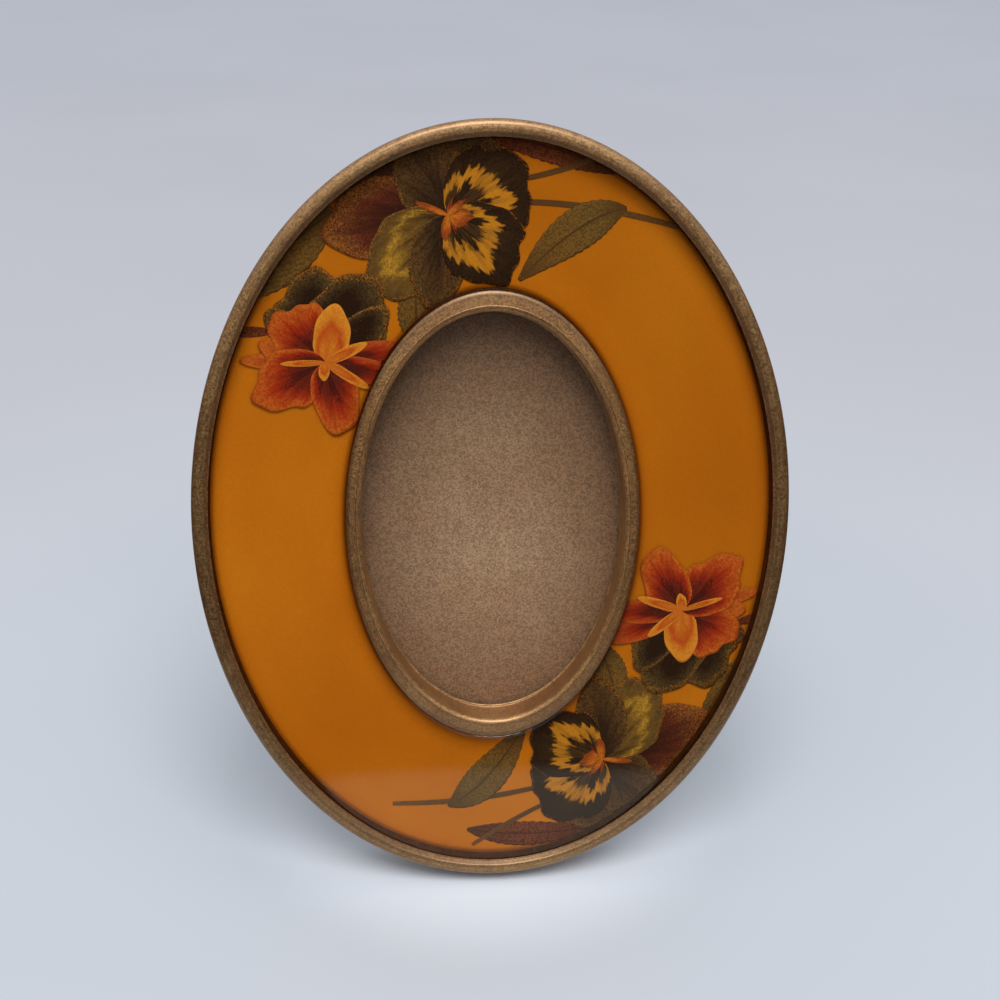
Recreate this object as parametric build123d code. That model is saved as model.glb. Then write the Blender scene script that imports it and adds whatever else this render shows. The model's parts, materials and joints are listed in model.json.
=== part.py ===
from build123d import *
import math
import os

# A small oval picture frame that stands on an easel leg. Millimetres throughout.
#
# Every piece is first built lying on its back: X to the right, Y up the face, Z towards the viewer, with
# Z zero at the back edge of the casting and X, Y zero at the middle of the oval. The pieces are then stood
# up: the face leans back, the ground is at Z zero, and the origin is in the middle of the small flat that
# the casting stands on.

# Driving sizes of the oval tray
frame_width = 80.0
frame_height = 104.8
frame_depth = 9.0
lean_angle = 12.0
base_flat_depth = 0.35
cut_overrun = 5.0

# Rim: rounded outside up to its crest, with an inner slope down to the wall above the resin
rim_face_width = 1.65
rim_round_drop = 1.6
rim_round_steps = 2
rim_slope_width = 0.6
rim_slope_drop = 0.6
skirt_thickness = 1.8
back_edge_chamfer = 0.5

# Channel between rim and bezel, with its print and its poured resin
channel_depth = 3.0
floor_thickness = 1.6
print_thickness = 0.15
resin_drop = 0.9

# Bezel round the window, with a fine lip on its inner edge
bezel_width = 39.4
bezel_height = 62.1
bezel_drop = 0.5
bezel_side_width = 2.0
bezel_end_width = 2.75
bezel_edge_chamfer = 0.4
bezel_face_fall = 0.25
bezel_lip_width = 0.6
bezel_lip_rise = 0.2
window_side_draft = 0.15
window_end_draft = 0.55

# Pane and backing card behind the window
pane_overlap = 2.8
pane_thickness = 1.0
pane_clearance = 0.2
card_thickness = 0.3
card_margin = 0.15

# Back plate, a stamping whose middle is pressed forward to hold the picture on the pane
plate_width = 54.0
plate_height = 77.0
plate_thickness = 0.8
plate_clearance = 0.25
pad_margin = 0.5
pad_rise = 0.4

# Back of the casting: a wall round the plate, ribs out to the skirt and a nail notch at the top
pocket_wall = 1.6
rib_thickness = 1.2
rib_step_down = 0.3
rib_angles = (12.0, 66.0, 114.0, 168.0, 192.0, 246.0, 294.0, 348.0)
notch_radius = 5.0
notch_depth = 1.5

# Turn buttons, their screws and washers
boss_radius = 2.75
boss_overlap = 0.3
boss_rise = 0.1
boss_angle = 40.0
button_gap = 0.05
button_thickness = 0.6
button_root_radius = 2.4
button_tip_radius = 1.5
button_reach = 7.6
washer_gap = 0.02
washer_thickness = 0.18
washer_radius = 1.75
screw_radius = 1.0
button_hole_clearance = 0.06
screw_hole_clearance = 0.05
screw_length = 2.0
screw_hole_extra = 0.3
screw_head_radius = 1.65
screw_head_height = 0.8
screw_slot_width = 0.45
screw_slot_depth = 0.4

# Easel bracket, its rivets and its hinge pin
hinge_below_plate_top = 18.5
bracket_thickness = 0.8
bracket_half_width = 4.0
bracket_top_margin = 1.2
bracket_foot_reach = 9.2
bracket_foot_half_width = 7.4
bracket_foot_height = 5.6
bracket_corner_radius = 1.5
bracket_seat_margin = 0.3
ear_thickness = 0.8
ear_radius = 1.6
ear_gap = 0.1
rivet_spacing = 9.0
rivet_radius = 0.9
rivet_clearance = 0.02
rivet_head_radius = 1.5
rivet_head_height = 0.6
pin_radius = 0.75
pin_clearance = 0.05
pin_overhang = 0.5
pin_head_radius = 1.15
pin_head_height = 0.5

# Easel leg, a stamped channel that is hinged at its cheeks and stopped by its top edge
open_angle = 25.0
leg_thickness = 0.9
leg_side_gap = 0.2
leg_straight_run = 3.0
leg_foot_half_width = 11.0
leg_foot_radius = 2.5
leg_foot_height = 5.0
leg_top_radius = 1.2
leg_flange_depth = 0.9
leg_flange_run = 12.0
leg_stop_gap = 0.05
leg_rib_half_width = 1.7
leg_rib_rise = 0.6
leg_rib_start = 7.0
leg_rib_end_gap = 12.0
leg_rib_chamfer = 0.3


def rounded_points(width, drop, steps, top):
    """Points of a rounded edge: how far it is drawn in from the outside, and its height."""
    turns = [math.pi / 2 * step / steps for step in range(steps + 1)]
    return [(width * (1 - math.cos(turn)), top - drop * (1 - math.sin(turn))) for turn in turns]


# Heights above the back edge of the casting, worked out from the sizes above
resin_top = frame_depth - resin_drop
slope_foot = frame_depth - rim_slope_drop
bezel_top = frame_depth - bezel_drop
channel_floor = frame_depth - channel_depth
pane_seat = channel_floor - floor_thickness
card_front = pane_seat - pane_thickness
pad_front = card_front - card_thickness
plate_front = pad_front - pad_rise
plate_back = plate_front - plate_thickness
pad_back = pad_front - plate_thickness
boss_top = plate_back - boss_rise
button_front = boss_top - button_gap
button_back = button_front - button_thickness
washer_front = button_back - washer_gap
washer_back = washer_front - washer_thickness
screw_seat = washer_back - washer_gap
bracket_back = pad_back - bracket_thickness
pin_level = bracket_back - ear_gap - ear_radius

# Half sizes of the ovals
outline = (frame_width / 2, frame_height / 2)
bezel_oval = (bezel_width / 2, bezel_height / 2)
plate_oval = (plate_width / 2, plate_height / 2)


def inset(oval, amount):
    """Half sizes of an oval drawn in from another by the same amount all round."""
    return (oval[0] - amount, oval[1] - amount)


rim_inner_oval = inset(outline, rim_face_width)
channel_oval = inset(rim_inner_oval, rim_slope_width)
window_oval = (bezel_oval[0] - bezel_side_width, bezel_oval[1] - bezel_end_width)
seat_oval = (window_oval[0] - window_side_draft, window_oval[1] - window_end_draft)
pane_oval = inset(seat_oval, -pane_overlap)
pane_pocket_oval = inset(pane_oval, -pane_clearance)
card_oval = inset(pane_oval, card_margin)
pad_oval = inset(pane_oval, pad_margin)
plate_pocket_oval = inset(plate_oval, -plate_clearance)
pocket_wall_oval = inset(plate_pocket_oval, -pocket_wall)
skirt_oval = inset(outline, skirt_thickness)
boss_oval = inset(pocket_wall_oval, boss_overlap - boss_radius)

# Where the standing frame meets the ground: a small flat is cut at the lowest point of the rim
lean = math.radians(lean_angle)
hinge_height = plate_oval[1] - hinge_below_plate_top
ground_level = back_edge_chamfer * math.sin(lean) - outline[1] * math.cos(lean) + base_flat_depth

# Length of the leg from its pin to the ground, and of its heel above the pin, which is the stop
opening = math.radians(open_angle)
slant = opening - lean
leg_web_offset = ear_radius + ear_gap
pin_y = hinge_height * math.sin(lean) - pin_level * math.cos(lean)
pin_above_ground = hinge_height * math.cos(lean) + pin_level * math.sin(lean) - ground_level
leg_length = pin_above_ground / math.cos(slant)
stop_reach = ear_radius + ear_gap - leg_stop_gap
heel_length = (stop_reach + leg_web_offset * math.cos(opening)) / math.sin(opening)
stop_height = heel_length * math.cos(opening) + leg_web_offset * math.sin(opening)
leg_half_width = bracket_half_width + leg_side_gap + leg_thickness

# The footprint runs from the front of the rim to the back of the foot, and its middle is the origin
rim_round = rounded_points(rim_face_width, rim_round_drop, rim_round_steps, frame_depth)
footprint_front = min(
    -(outline[1] - drawn_in) * math.sin(lean) - height * math.cos(lean) for drawn_in, height in rim_round
)
footprint_back = pin_y + (
    pin_above_ground * math.sin(slant) + leg_web_offset + leg_thickness
) / math.cos(slant)
middle_y = (footprint_front + footprint_back) / 2
standing = Pos(0, -middle_y, -ground_level) * Rot(X=90 - lean_angle)


def oval_prism(oval, low, high):
    """A straight oval block between two heights."""
    return extrude(Pos(0, 0, low) * Ellipse(oval[0], oval[1]), high - low)


def oval_cone(low_oval, high_oval, low, high):
    """A tapered oval block between two heights."""
    return loft([Pos(0, 0, low) * Ellipse(*low_oval), Pos(0, 0, high) * Ellipse(*high_oval)])


def oval_ring(outer, inner, low, high):
    """A straight oval ring between two heights."""
    return extrude(Pos(0, 0, low) * (Ellipse(*outer) - Ellipse(*inner)), high - low)


def oval_stack(oval, points):
    """An oval block whose outside follows the points, each an inset and a height from the lowest up."""
    sections = [Pos(0, 0, height) * Ellipse(*inset(oval, drawn_in)) for drawn_in, height in points]
    return loft(sections, ruled=True)


def on_oval(oval, angle):
    """A point of an oval, and the direction in degrees of the outward normal there."""
    a = math.radians(angle)
    x, y = oval[0] * math.cos(a), oval[1] * math.sin(a)
    normal = math.degrees(math.atan2(math.sin(a) / oval[1], math.cos(a) / oval[0]))
    return x, y, normal


def rim():
    """The outer wall with its rounded rim and the slope inside it."""
    outside = [(back_edge_chamfer, 0), (0, back_edge_chamfer), *rim_round]
    body = oval_stack(outline, outside)
    body -= oval_prism(skirt_oval, 0, pane_seat)
    body -= oval_prism(channel_oval, pane_seat, slope_foot)
    return body - oval_cone(channel_oval, rim_inner_oval, slope_foot, frame_depth)


def bezel():
    """The ring round the window: its falling face, its fine inner lip and the drafted wall."""
    lip_foot = inset(window_oval, -bezel_lip_width)
    lip_top = bezel_top + bezel_lip_rise
    shoulder = bezel_top - bezel_face_fall
    face_oval = inset(bezel_oval, bezel_edge_chamfer)
    ring = oval_prism(bezel_oval, pane_seat, shoulder - bezel_edge_chamfer)
    ring += oval_cone(bezel_oval, face_oval, shoulder - bezel_edge_chamfer, shoulder)
    ring += oval_cone(face_oval, lip_foot, shoulder, bezel_top)
    ring += oval_cone(lip_foot, window_oval, bezel_top, lip_top)
    return ring - oval_cone(seat_oval, window_oval, pane_seat, lip_top)


def pocket():
    """The floor of the channel and the stepped pocket behind it for pane and plate."""
    floor = oval_ring(channel_oval, seat_oval, pane_seat, channel_floor)
    land = oval_ring(pocket_wall_oval, pane_pocket_oval, plate_front, pane_seat)
    wall = oval_ring(pocket_wall_oval, plate_pocket_oval, plate_back, plate_front)
    return floor + land + wall


def ribs():
    """The ribs that join the wall round the plate to the skirt."""
    cavity = oval_ring(skirt_oval, pocket_wall_oval, plate_back + rib_step_down, pane_seat)
    middle_oval = ((skirt_oval[0] + pocket_wall_oval[0]) / 2, (skirt_oval[1] + pocket_wall_oval[1]) / 2)
    span = 2 * (skirt_oval[0] - pocket_wall_oval[0])
    bars = []
    for angle in rib_angles:
        x, y, normal = on_oval(middle_oval, angle)
        bars.append(Pos(x, y, pane_seat / 2) * Rot(Z=normal) * Box(span, rib_thickness, pane_seat))
    return cavity & (bars[0] + bars[1:])


def boss_places():
    """The four places of the turn buttons: name, point and outward direction."""
    quarters = (
        ("upper_right", boss_angle),
        ("upper_left", 180 - boss_angle),
        ("lower_left", 180 + boss_angle),
        ("lower_right", 360 - boss_angle),
    )
    return [(name, *on_oval(boss_oval, angle)) for name, angle in quarters]


def bosses():
    """The four screw bosses beside the wall round the plate."""
    height = pane_seat - boss_top
    standing_up = (Align.CENTER, Align.CENTER, Align.MIN)
    posts = [
        Pos(x, y, boss_top) * Cylinder(boss_radius, height, align=standing_up)
        for _, x, y, _ in boss_places()
    ]
    return posts[0] + posts[1:]


def boss_holes():
    """The blind holes that the screws cut their threads in."""
    depth = screw_length + screw_hole_extra
    holes = [
        Pos(x, y, boss_top - cut_overrun)
        * Cylinder(
            screw_radius + screw_hole_clearance,
            depth + cut_overrun,
            align=(Align.CENTER, Align.CENTER, Align.MIN),
        )
        for _, x, y, _ in boss_places()
    ]
    return holes[0] + holes[1:]


def below_ground():
    """A block that takes in everything under the standing frame."""
    reach = frame_height
    return Pos(0, 0, -reach / 2) * Box(frame_width, 2 * reach, reach)


def frame_casting():
    """The oval tray in one casting: rim, channel floor, bezel, pocket, ribs and bosses."""
    body = rim() + pocket() + bezel() + ribs() + bosses()
    # The plate's pocket stays clear where the bosses lean into its wall.
    body -= oval_prism(plate_pocket_oval, plate_back - cut_overrun, plate_front)
    # The land gives way to the bracket's pressed seat where that leaves the pane's pocket.
    seat = bracket_outline(bracket_seat_margin + plate_thickness + plate_clearance)
    body -= extrude(Pos(0, 0, plate_front) * seat, pad_front - plate_front)
    body -= boss_holes()
    notch_y = plate_pocket_oval[1] + notch_radius / 2
    notch = Pos(0, notch_y, plate_back - cut_overrun) * Cylinder(
        notch_radius, notch_depth + cut_overrun, align=(Align.CENTER, Align.CENTER, Align.MIN)
    )
    body -= notch - oval_prism(inset(skirt_oval, -skirt_thickness), -cut_overrun, 0)
    return standing * body - below_ground()


def print_blank():
    """The printed paper ring that fills the channel floor."""
    return oval_ring(channel_oval, bezel_oval, channel_floor, channel_floor + print_thickness)


def resin_inlay():
    """The clear amber resin, poured over the print."""
    return oval_ring(channel_oval, bezel_oval, channel_floor + print_thickness, resin_top)


def window_pane():
    """The oval glass, seated behind the bezel."""
    return oval_prism(pane_oval, card_front, pane_seat)


def backing_card():
    """The coated card that fills the picture's place."""
    return oval_prism(card_oval, pad_front, card_front)


def rivet_places():
    """The two rivets of the bracket, below the pin."""
    y = hinge_height - bracket_foot_reach + bracket_foot_height / 2
    return [(-rivet_spacing / 2, y), (rivet_spacing / 2, y)]


def bracket_outline(growth):
    """The strip and the wide foot of the bracket seen from behind, drawn out by a growth."""
    top_reach = stop_height + bracket_top_margin
    strip_length = top_reach + bracket_foot_reach + 2 * growth
    middle = hinge_height + (top_reach - bracket_foot_reach) / 2
    strip = Pos(0, middle) * SlotOverall(strip_length, 2 * (bracket_half_width + growth), rotation=90)
    foot_y = hinge_height - bracket_foot_reach + bracket_foot_height / 2
    foot_width, foot_height = 2 * (bracket_foot_half_width + growth), bracket_foot_height + 2 * growth
    return strip + Pos(0, foot_y) * RectangleRounded(foot_width, foot_height, bracket_corner_radius + growth)


def back_plate():
    """The stamped back plate, with its middle and the seat of the bracket pressed forward as a pad."""
    plate = oval_prism(plate_oval, plate_back, plate_front)
    pressed = bracket_outline(bracket_seat_margin + plate_thickness)
    plate += oval_prism(pad_oval, plate_back, pad_front)
    plate += extrude(Pos(0, 0, plate_back) * pressed, pad_front - plate_back)
    plate -= oval_prism(inset(pad_oval, plate_thickness), plate_back, pad_back)
    plate -= extrude(Pos(0, 0, plate_back) * bracket_outline(bracket_seat_margin), pad_back - plate_back)
    for x, y in rivet_places():
        plate -= Pos(x, y, pad_front) * Cylinder(rivet_radius + rivet_clearance, 2 * cut_overrun)
    return plate


def turn_button(x, y, normal):
    """One stamped turn button, pointing in over the edge of the plate."""
    tip = button_reach - button_tip_radius
    outline_wire = make_hull(
        Circle(button_root_radius).edges() + (Pos(-tip, 0) * Circle(button_tip_radius)).edges()
    )
    blank = extrude(outline_wire, button_thickness)
    blank -= Cylinder(screw_radius + button_hole_clearance, 2 * cut_overrun)
    return Pos(x, y, button_back) * Rot(Z=normal) * blank


def button_screw(x, y, normal):
    """One screw: slotted head, and a shank that the button turns on."""
    low = (Align.CENTER, Align.CENTER, Align.MIN)
    high = (Align.CENTER, Align.CENTER, Align.MAX)
    head = Cylinder(screw_head_radius, screw_head_height, align=high)
    slot = Pos(0, 0, -screw_head_height) * Box(2 * cut_overrun, screw_slot_width, 2 * screw_slot_depth)
    shank = Cylinder(screw_radius, boss_top - screw_seat + screw_length, align=low)
    return Pos(x, y, screw_seat) * Rot(Z=normal + boss_angle) * (head - slot + shank)


def button_washer(x, y):
    """One thin washer under a screw head."""
    ring = Circle(washer_radius) - Circle(screw_radius + button_hole_clearance)
    return extrude(Pos(x, y, washer_back) * ring, washer_thickness)


def easel_bracket():
    """The bracket on the back plate: a strip with a wide foot for the rivets and two ears for the pin."""
    base = extrude(Pos(0, 0, bracket_back) * bracket_outline(0), bracket_thickness)
    ear_height = bracket_back - pin_level
    cheek = Circle(ear_radius) + Pos(0, ear_height / 2) * Rectangle(2 * ear_radius, ear_height)
    for side in (-1, 1):
        start = side * bracket_half_width if side < 0 else bracket_half_width - ear_thickness
        plane = Plane((start, hinge_height, pin_level), x_dir=(0, 1, 0), z_dir=(1, 0, 0))
        base += extrude(plane * cheek, ear_thickness)
    base -= pin_bore()
    for x, y in rivet_places():
        base -= Pos(x, y, bracket_back) * Cylinder(rivet_radius + rivet_clearance, 2 * cut_overrun)
    return base


def pin_bore():
    """The bore of the hinge, right across bracket and leg."""
    return Pos(0, hinge_height, pin_level) * Rot(Y=90) * Cylinder(pin_radius + pin_clearance, frame_width)


def bracket_rivets():
    """The two rivets, with heads behind and flush ends in front."""
    rivets = []
    for x, y in rivet_places():
        shank_length = bracket_thickness + plate_thickness
        shank = Cylinder(rivet_radius, shank_length, align=(Align.CENTER, Align.CENTER, Align.MIN))
        head = Cylinder(rivet_head_radius, rivet_head_height, align=(Align.CENTER, Align.CENTER, Align.MAX))
        rivets.append(Pos(x, y, bracket_back) * (shank + head))
    return rivets


def hinge_pin():
    """The hinge pin, with both ends headed over outside the leg."""
    half = leg_half_width + pin_overhang
    shaft = Cylinder(pin_radius, 2 * half)
    for side in (-1, 1):
        head = Cylinder(pin_head_radius, pin_head_height)
        shaft += Pos(0, 0, side * (half - pin_head_height / 2 + pin_clearance)) * head
    return Pos(0, hinge_height, pin_level) * Rot(Y=90) * shaft


def leg_outline(growth):
    """Front outline of the leg, with its pin at zero, drawn out or in by a growth."""
    foot = -leg_length - cut_overrun
    slope = (leg_foot_half_width - leg_half_width) / (leg_length - leg_straight_run)
    foot_half = leg_foot_half_width + slope * cut_overrun
    right_side = [
        (leg_half_width + growth, heel_length),
        (leg_half_width + growth, -leg_straight_run),
        (foot_half + growth, foot),
    ]
    left_side = [(-x, y) for x, y in reversed(right_side)]
    return make_face(Polyline(*right_side, *left_side, close=True))


def leg_side_profile():
    """Side of the leg: flat web, round cheeks about the pin and flanges that run out above the foot."""
    web_front = -leg_web_offset
    web_back = web_front - leg_thickness
    flange_front = web_front + leg_flange_depth
    flange_end = -leg_length + leg_foot_height
    foot = -leg_length - cut_overrun
    web = Polyline(
        (heel_length, web_front), (heel_length, web_back), (foot, web_back), (foot, web_front), close=True
    )
    side = Polyline(
        (ear_radius, web_back),
        (ear_radius, 0),
        (0, ear_radius),
        (-leg_flange_run, flange_front),
        (flange_end, flange_front),
        (flange_end - leg_flange_depth, web_front),
        (flange_end - leg_flange_depth, web_back),
        close=True,
    )
    return Plane.YZ * (make_face(web) + make_face(side) + Circle(ear_radius))


def leg_rib():
    """The rib pressed in the web: what stands out behind, and the hollow in front."""
    web_front = -leg_web_offset
    length = leg_length - leg_rib_start - leg_rib_end_gap
    middle = -leg_rib_start - length / 2
    rib = SlotOverall(length, 2 * leg_rib_half_width, rotation=90)
    inside = SlotOverall(length - leg_thickness, 2 * leg_rib_half_width - leg_thickness, rotation=90)
    raised = extrude(Pos(0, middle, web_front - leg_thickness - leg_rib_rise) * rib, leg_thickness)
    raised = chamfer(raised.edges().group_by(Axis.Z)[0], leg_rib_chamfer)
    hollow = extrude(Pos(0, middle, web_front - leg_rib_rise) * inside, leg_rib_rise + leg_web_offset)
    return raised, hollow


def easel_leg_folded():
    """The leg folded flat behind the plate, pin at zero, before its foot is cut."""
    web_front = -leg_web_offset
    web_back = web_front - leg_thickness
    shell = extrude(Pos(0, 0, web_back) * leg_outline(0), ear_radius - web_back)
    inside = extrude(Pos(0, 0, web_front) * leg_outline(-leg_thickness), ear_radius - web_front)
    inside += Pos(0, heel_length) * inside
    body = (shell - inside) & extrude(leg_side_profile(), frame_width / 2, both=True)
    heel_corners = [
        e for e in body.edges().filter_by(Axis.Z) if abs(e.center().Y - heel_length) < leg_stop_gap
    ]
    body = fillet(heel_corners, leg_top_radius)
    raised, hollow = leg_rib()
    body = body + raised - hollow
    return body - Rot(Y=90) * Cylinder(pin_radius + pin_clearance, frame_width)


def easel_leg():
    """The leg opened against its stop and cut level where it stands, with rounded foot corners."""
    opened = Pos(0, hinge_height, pin_level) * Rot(X=open_angle) * easel_leg_folded()
    leg = standing * opened - below_ground()
    foot_corners = [
        e
        for e in leg.edges()
        if e.bounding_box().min.Z < leg_stop_gap
        and abs(e.center().X) > leg_foot_half_width - leg_thickness
        and e.bounding_box().size.Z < leg_thickness
        and e.bounding_box().size.X < leg_thickness / 2
    ]
    return fillet(foot_corners, leg_foot_radius)


def write(name, shape):
    """Writes one node as STEP."""
    export_step(shape, f"parts/{name}.step")


def stood(shapes):
    """Stands one shape up, or several as one node of separate solids."""
    if isinstance(shapes, (list, tuple)):
        return Compound(children=[standing * s for s in shapes])
    return standing * shapes


def main():
    """Builds every piece and writes it."""
    os.makedirs("parts", exist_ok=True)
    write("frame_casting", frame_casting())
    write("print_ring", stood(print_blank()))
    write("resin_inlay", stood(resin_inlay()))
    write("window_pane", stood(window_pane()))
    write("backing_card", stood(backing_card()))
    write("back_plate", stood(back_plate()))
    write("easel_bracket", stood(easel_bracket()))
    write("bracket_rivets", stood(bracket_rivets()))
    write("hinge_pin", stood(hinge_pin()))
    write("easel_leg", easel_leg())
    for name, x, y, normal in boss_places():
        write(f"turn_button_{name}", stood(turn_button(x, y, normal)))
    write("button_screws", stood([button_screw(x, y, n) for _, x, y, n in boss_places()]))
    write("button_washers", stood([button_washer(x, y) for _, x, y, _ in boss_places()]))
    pin = standing * Pos(0, hinge_height, pin_level)
    print("pin", pin.position)
    for name, x, y, _ in boss_places():
        print(name, (standing * Pos(x, y, boss_top)).position)
    print("leg length", leg_length, "heel", heel_length, "middle", middle_y, "ground", ground_level)


main()
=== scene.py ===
"""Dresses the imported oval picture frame: casting, printed pansies, poured resin, glass, card and back hardware.

Sizes are in millimetres in the frame's own lying position: X across, Y up the face, Z towards the viewer, with Z
zero at the back edge of the casting and X, Y zero at the middle of the oval. FacePlace stands them up in metres.
"""

import json
import logging
import math
from dataclasses import dataclass, field
from enum import Enum
from typing import Sequence

import bpy
import numpy as np
from mathutils import Matrix, Vector


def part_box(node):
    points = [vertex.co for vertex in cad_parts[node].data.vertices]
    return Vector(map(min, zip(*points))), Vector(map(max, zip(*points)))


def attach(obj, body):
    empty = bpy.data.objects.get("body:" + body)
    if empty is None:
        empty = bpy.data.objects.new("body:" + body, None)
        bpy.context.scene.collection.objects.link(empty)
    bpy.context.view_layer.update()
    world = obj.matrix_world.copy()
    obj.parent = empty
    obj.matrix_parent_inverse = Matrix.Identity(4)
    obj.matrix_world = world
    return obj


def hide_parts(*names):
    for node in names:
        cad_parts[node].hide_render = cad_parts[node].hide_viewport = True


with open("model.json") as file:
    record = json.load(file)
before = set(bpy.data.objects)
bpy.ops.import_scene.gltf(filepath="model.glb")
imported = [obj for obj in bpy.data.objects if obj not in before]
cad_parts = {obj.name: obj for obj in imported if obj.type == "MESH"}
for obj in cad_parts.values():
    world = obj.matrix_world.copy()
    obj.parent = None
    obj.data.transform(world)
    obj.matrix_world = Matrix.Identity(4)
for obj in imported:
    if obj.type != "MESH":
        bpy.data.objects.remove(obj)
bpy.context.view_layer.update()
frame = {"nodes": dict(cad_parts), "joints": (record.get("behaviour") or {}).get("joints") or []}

logging.basicConfig(level=logging.INFO, format="%(levelname)s %(message)s")
LOG = logging.getLogger("oval_frame")

Colour = tuple[float, float, float]
Socket = bpy.types.NodeSocket
Feed = bpy.types.NodeSocket | float | Colour
MM = 0.001
# Steps round the big ovals.
TURNS = 400
# Height of the pane's middle above the back edge of the casting.
PANE_MIDDLE_HEIGHT = 3.9
# How far past a rounded corner its flat is held, as a share of the rounding.
LEAD = 0.45
# The smallest (1 + cos) / 2 of a corner's turn that the rounding follows.
SHARPEST = 0.02
# Points along a petal, and along a leaf or stem.
PETAL_ALONG = 22
LEAF_ALONG = 60
# What one way through the resin leaves of the light, the light on the face, and the brightest ink there is.
RESIN_TINT: Colour = (0.97, 0.86, 0.62)
FACE_LIGHT = 0.95
BRIGHTEST_INK = 0.92
# Colour of the painted shade on the casting.
PAINTED_SHADE_COLOUR: Colour = (0.02, 0.009, 0.004)


# Shapes


@dataclass(frozen=True)
class Oval:
    """Half sizes of an oval, across and up the face."""

    across: float
    up: float

    def inset(self, amount: float) -> "Oval":
        """The oval drawn in by the same amount on both half sizes."""
        return Oval(self.across - amount, self.up - amount)


@dataclass(frozen=True)
class Corner:
    """One corner of a profile: its oval, its height, how far it is rounded and how much it is rubbed bright."""

    oval: Oval
    height: float
    ease: float = 0.0
    worn: float = 0.0


class FacePlace:
    """Where the lying frame stands in the room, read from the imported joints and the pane."""

    def __init__(self) -> None:
        """Takes the lean from the axis of a turn button and the middle from the pane's box."""
        joints = {joint["name"]: joint for joint in frame["joints"]}
        axis = np.array(joints["button_turn_upper_right"]["axis"], float)
        out = axis / np.linalg.norm(axis)
        self.out = out if out[1] < 0 else -out
        self.across = np.array([1.0, 0.0, 0.0])
        self.up = np.cross(self.out, self.across)
        low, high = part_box("window_pane")
        middle = (np.array(low) + np.array(high)) / 2
        self.origin = middle - self.out * PANE_MIDDLE_HEIGHT * MM

    def world(self, points: np.ndarray) -> np.ndarray:
        """Stands points up.

        Args:
            points: array of shape (..., 3) in lying millimetres.

        Returns:
            The same points in metres in the room: origin + x across + y up the face + z out of it.
        """
        basis = np.stack([self.across, self.up, self.out])
        return self.origin + (np.asarray(points, float) @ basis) * MM


PLACE = FacePlace()


def eased_profile(corners: Sequence[Corner], steps: int = 7, closed: bool = True) -> tuple[np.ndarray, np.ndarray]:
    """Rounds the corners of a profile.

    Each corner becomes a piece of circle, as a rational quadratic curve: the mean of its start, the corner and its
    end with weights (1-s)^2, 2ws(1-s) and s^2, where w is the cosine of half the turn. A point on each side of the
    curve keeps the flats flat.

    Args:
        corners: the corners in order, with the material on the left of the way.
        steps: points on each curve.
        closed: True if the last corner joins the first.

    Returns:
        Points as (half size across, half size up, height), and how rubbed each point is.
    """
    at = np.array([(c.oval.across, c.oval.up, c.height) for c in corners])
    ease = np.array([c.ease for c in corners])[:, None]
    before, after = np.roll(at, 1, 0) - at, np.roll(at, -1, 0) - at
    size_before = np.hypot(before[:, 0], before[:, 2])[:, None]
    size_after = np.hypot(after[:, 0], after[:, 2])[:, None]
    if not closed:
        ease[0] = ease[-1] = 0.0
    before, after = before / size_before, after / size_after
    cos_turn = -(before[:, 0] * after[:, 0] + before[:, 2] * after[:, 2])
    weight = np.sqrt(np.clip((1 + cos_turn) / 2, SHARPEST, 1))[:, None, None]
    start, end = at + before * ease, at + after * ease
    s = np.linspace(0, 1, steps)[None, :, None]
    parts = (1 - s) ** 2, 2 * weight * s * (1 - s), s**2
    arcs = (parts[0] * start[:, None] + parts[1] * at[:, None] + parts[2] * end[:, None]) / sum(parts)
    room_before = size_before - ease - np.roll(ease, 1, 0)
    room_after = size_after - ease - np.roll(ease, -1, 0)
    lead = at + before * (ease + np.minimum(ease, room_before.clip(0)) * LEAD)
    trail = at + after * (ease + np.minimum(ease, room_after.clip(0)) * LEAD)
    rows = np.concatenate([lead[:, None], arcs, trail[:, None]], 1)
    bell = np.concatenate([[0], np.sin(np.linspace(0.15, 0.85, steps) * math.pi), [0]])
    worn = np.array([c.worn for c in corners])[:, None] * bell[None]
    keep = np.ones(rows.shape[:2], bool)
    keep[ease[:, 0] <= 0, 1:] = False
    return rows[keep], worn[keep]


def oval_sweep(profile: np.ndarray, turns: int = TURNS, centre: tuple[float, float] = (0.0, 0.0)) -> np.ndarray:
    """Carries a profile round an oval: (cx + a cos t, cy + b sin t, z) for each profile point (a, b, z).

    Args:
        profile: points as (half size across, half size up, height).
        turns: steps round the oval.
        centre: middle of the oval.

    Returns:
        Points of shape (turns, profile points, 3).
    """
    angle = np.arange(turns) * (2 * math.pi / turns)
    x = centre[0] + np.cos(angle)[:, None] * profile[None, :, 0]
    y = centre[1] + np.sin(angle)[:, None] * profile[None, :, 1]
    return np.stack([x, y, np.broadcast_to(profile[None, :, 2], x.shape)], -1)


def wrapped_quads(columns: int, rows: int, wrap_rows: bool, wrap_columns: bool = True) -> np.ndarray:
    """Four-cornered faces of a grid whose points are numbered column by column.

    Args:
        columns: steps of the first direction.
        rows: steps of the second direction.
        wrap_rows: True if the last row joins the first.
        wrap_columns: True if the last column joins the first.

    Returns:
        Point numbers of shape (faces, 4).
    """
    across = np.arange(columns if wrap_columns else columns - 1)
    along = np.arange(rows if wrap_rows else rows - 1)
    i, j = np.meshgrid(across, along, indexing="ij")
    k, m = (i + 1) % columns, (j + 1) % rows
    return np.stack([i * rows + j, k * rows + j, k * rows + m, i * rows + m], -1).reshape(-1, 4)


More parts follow.
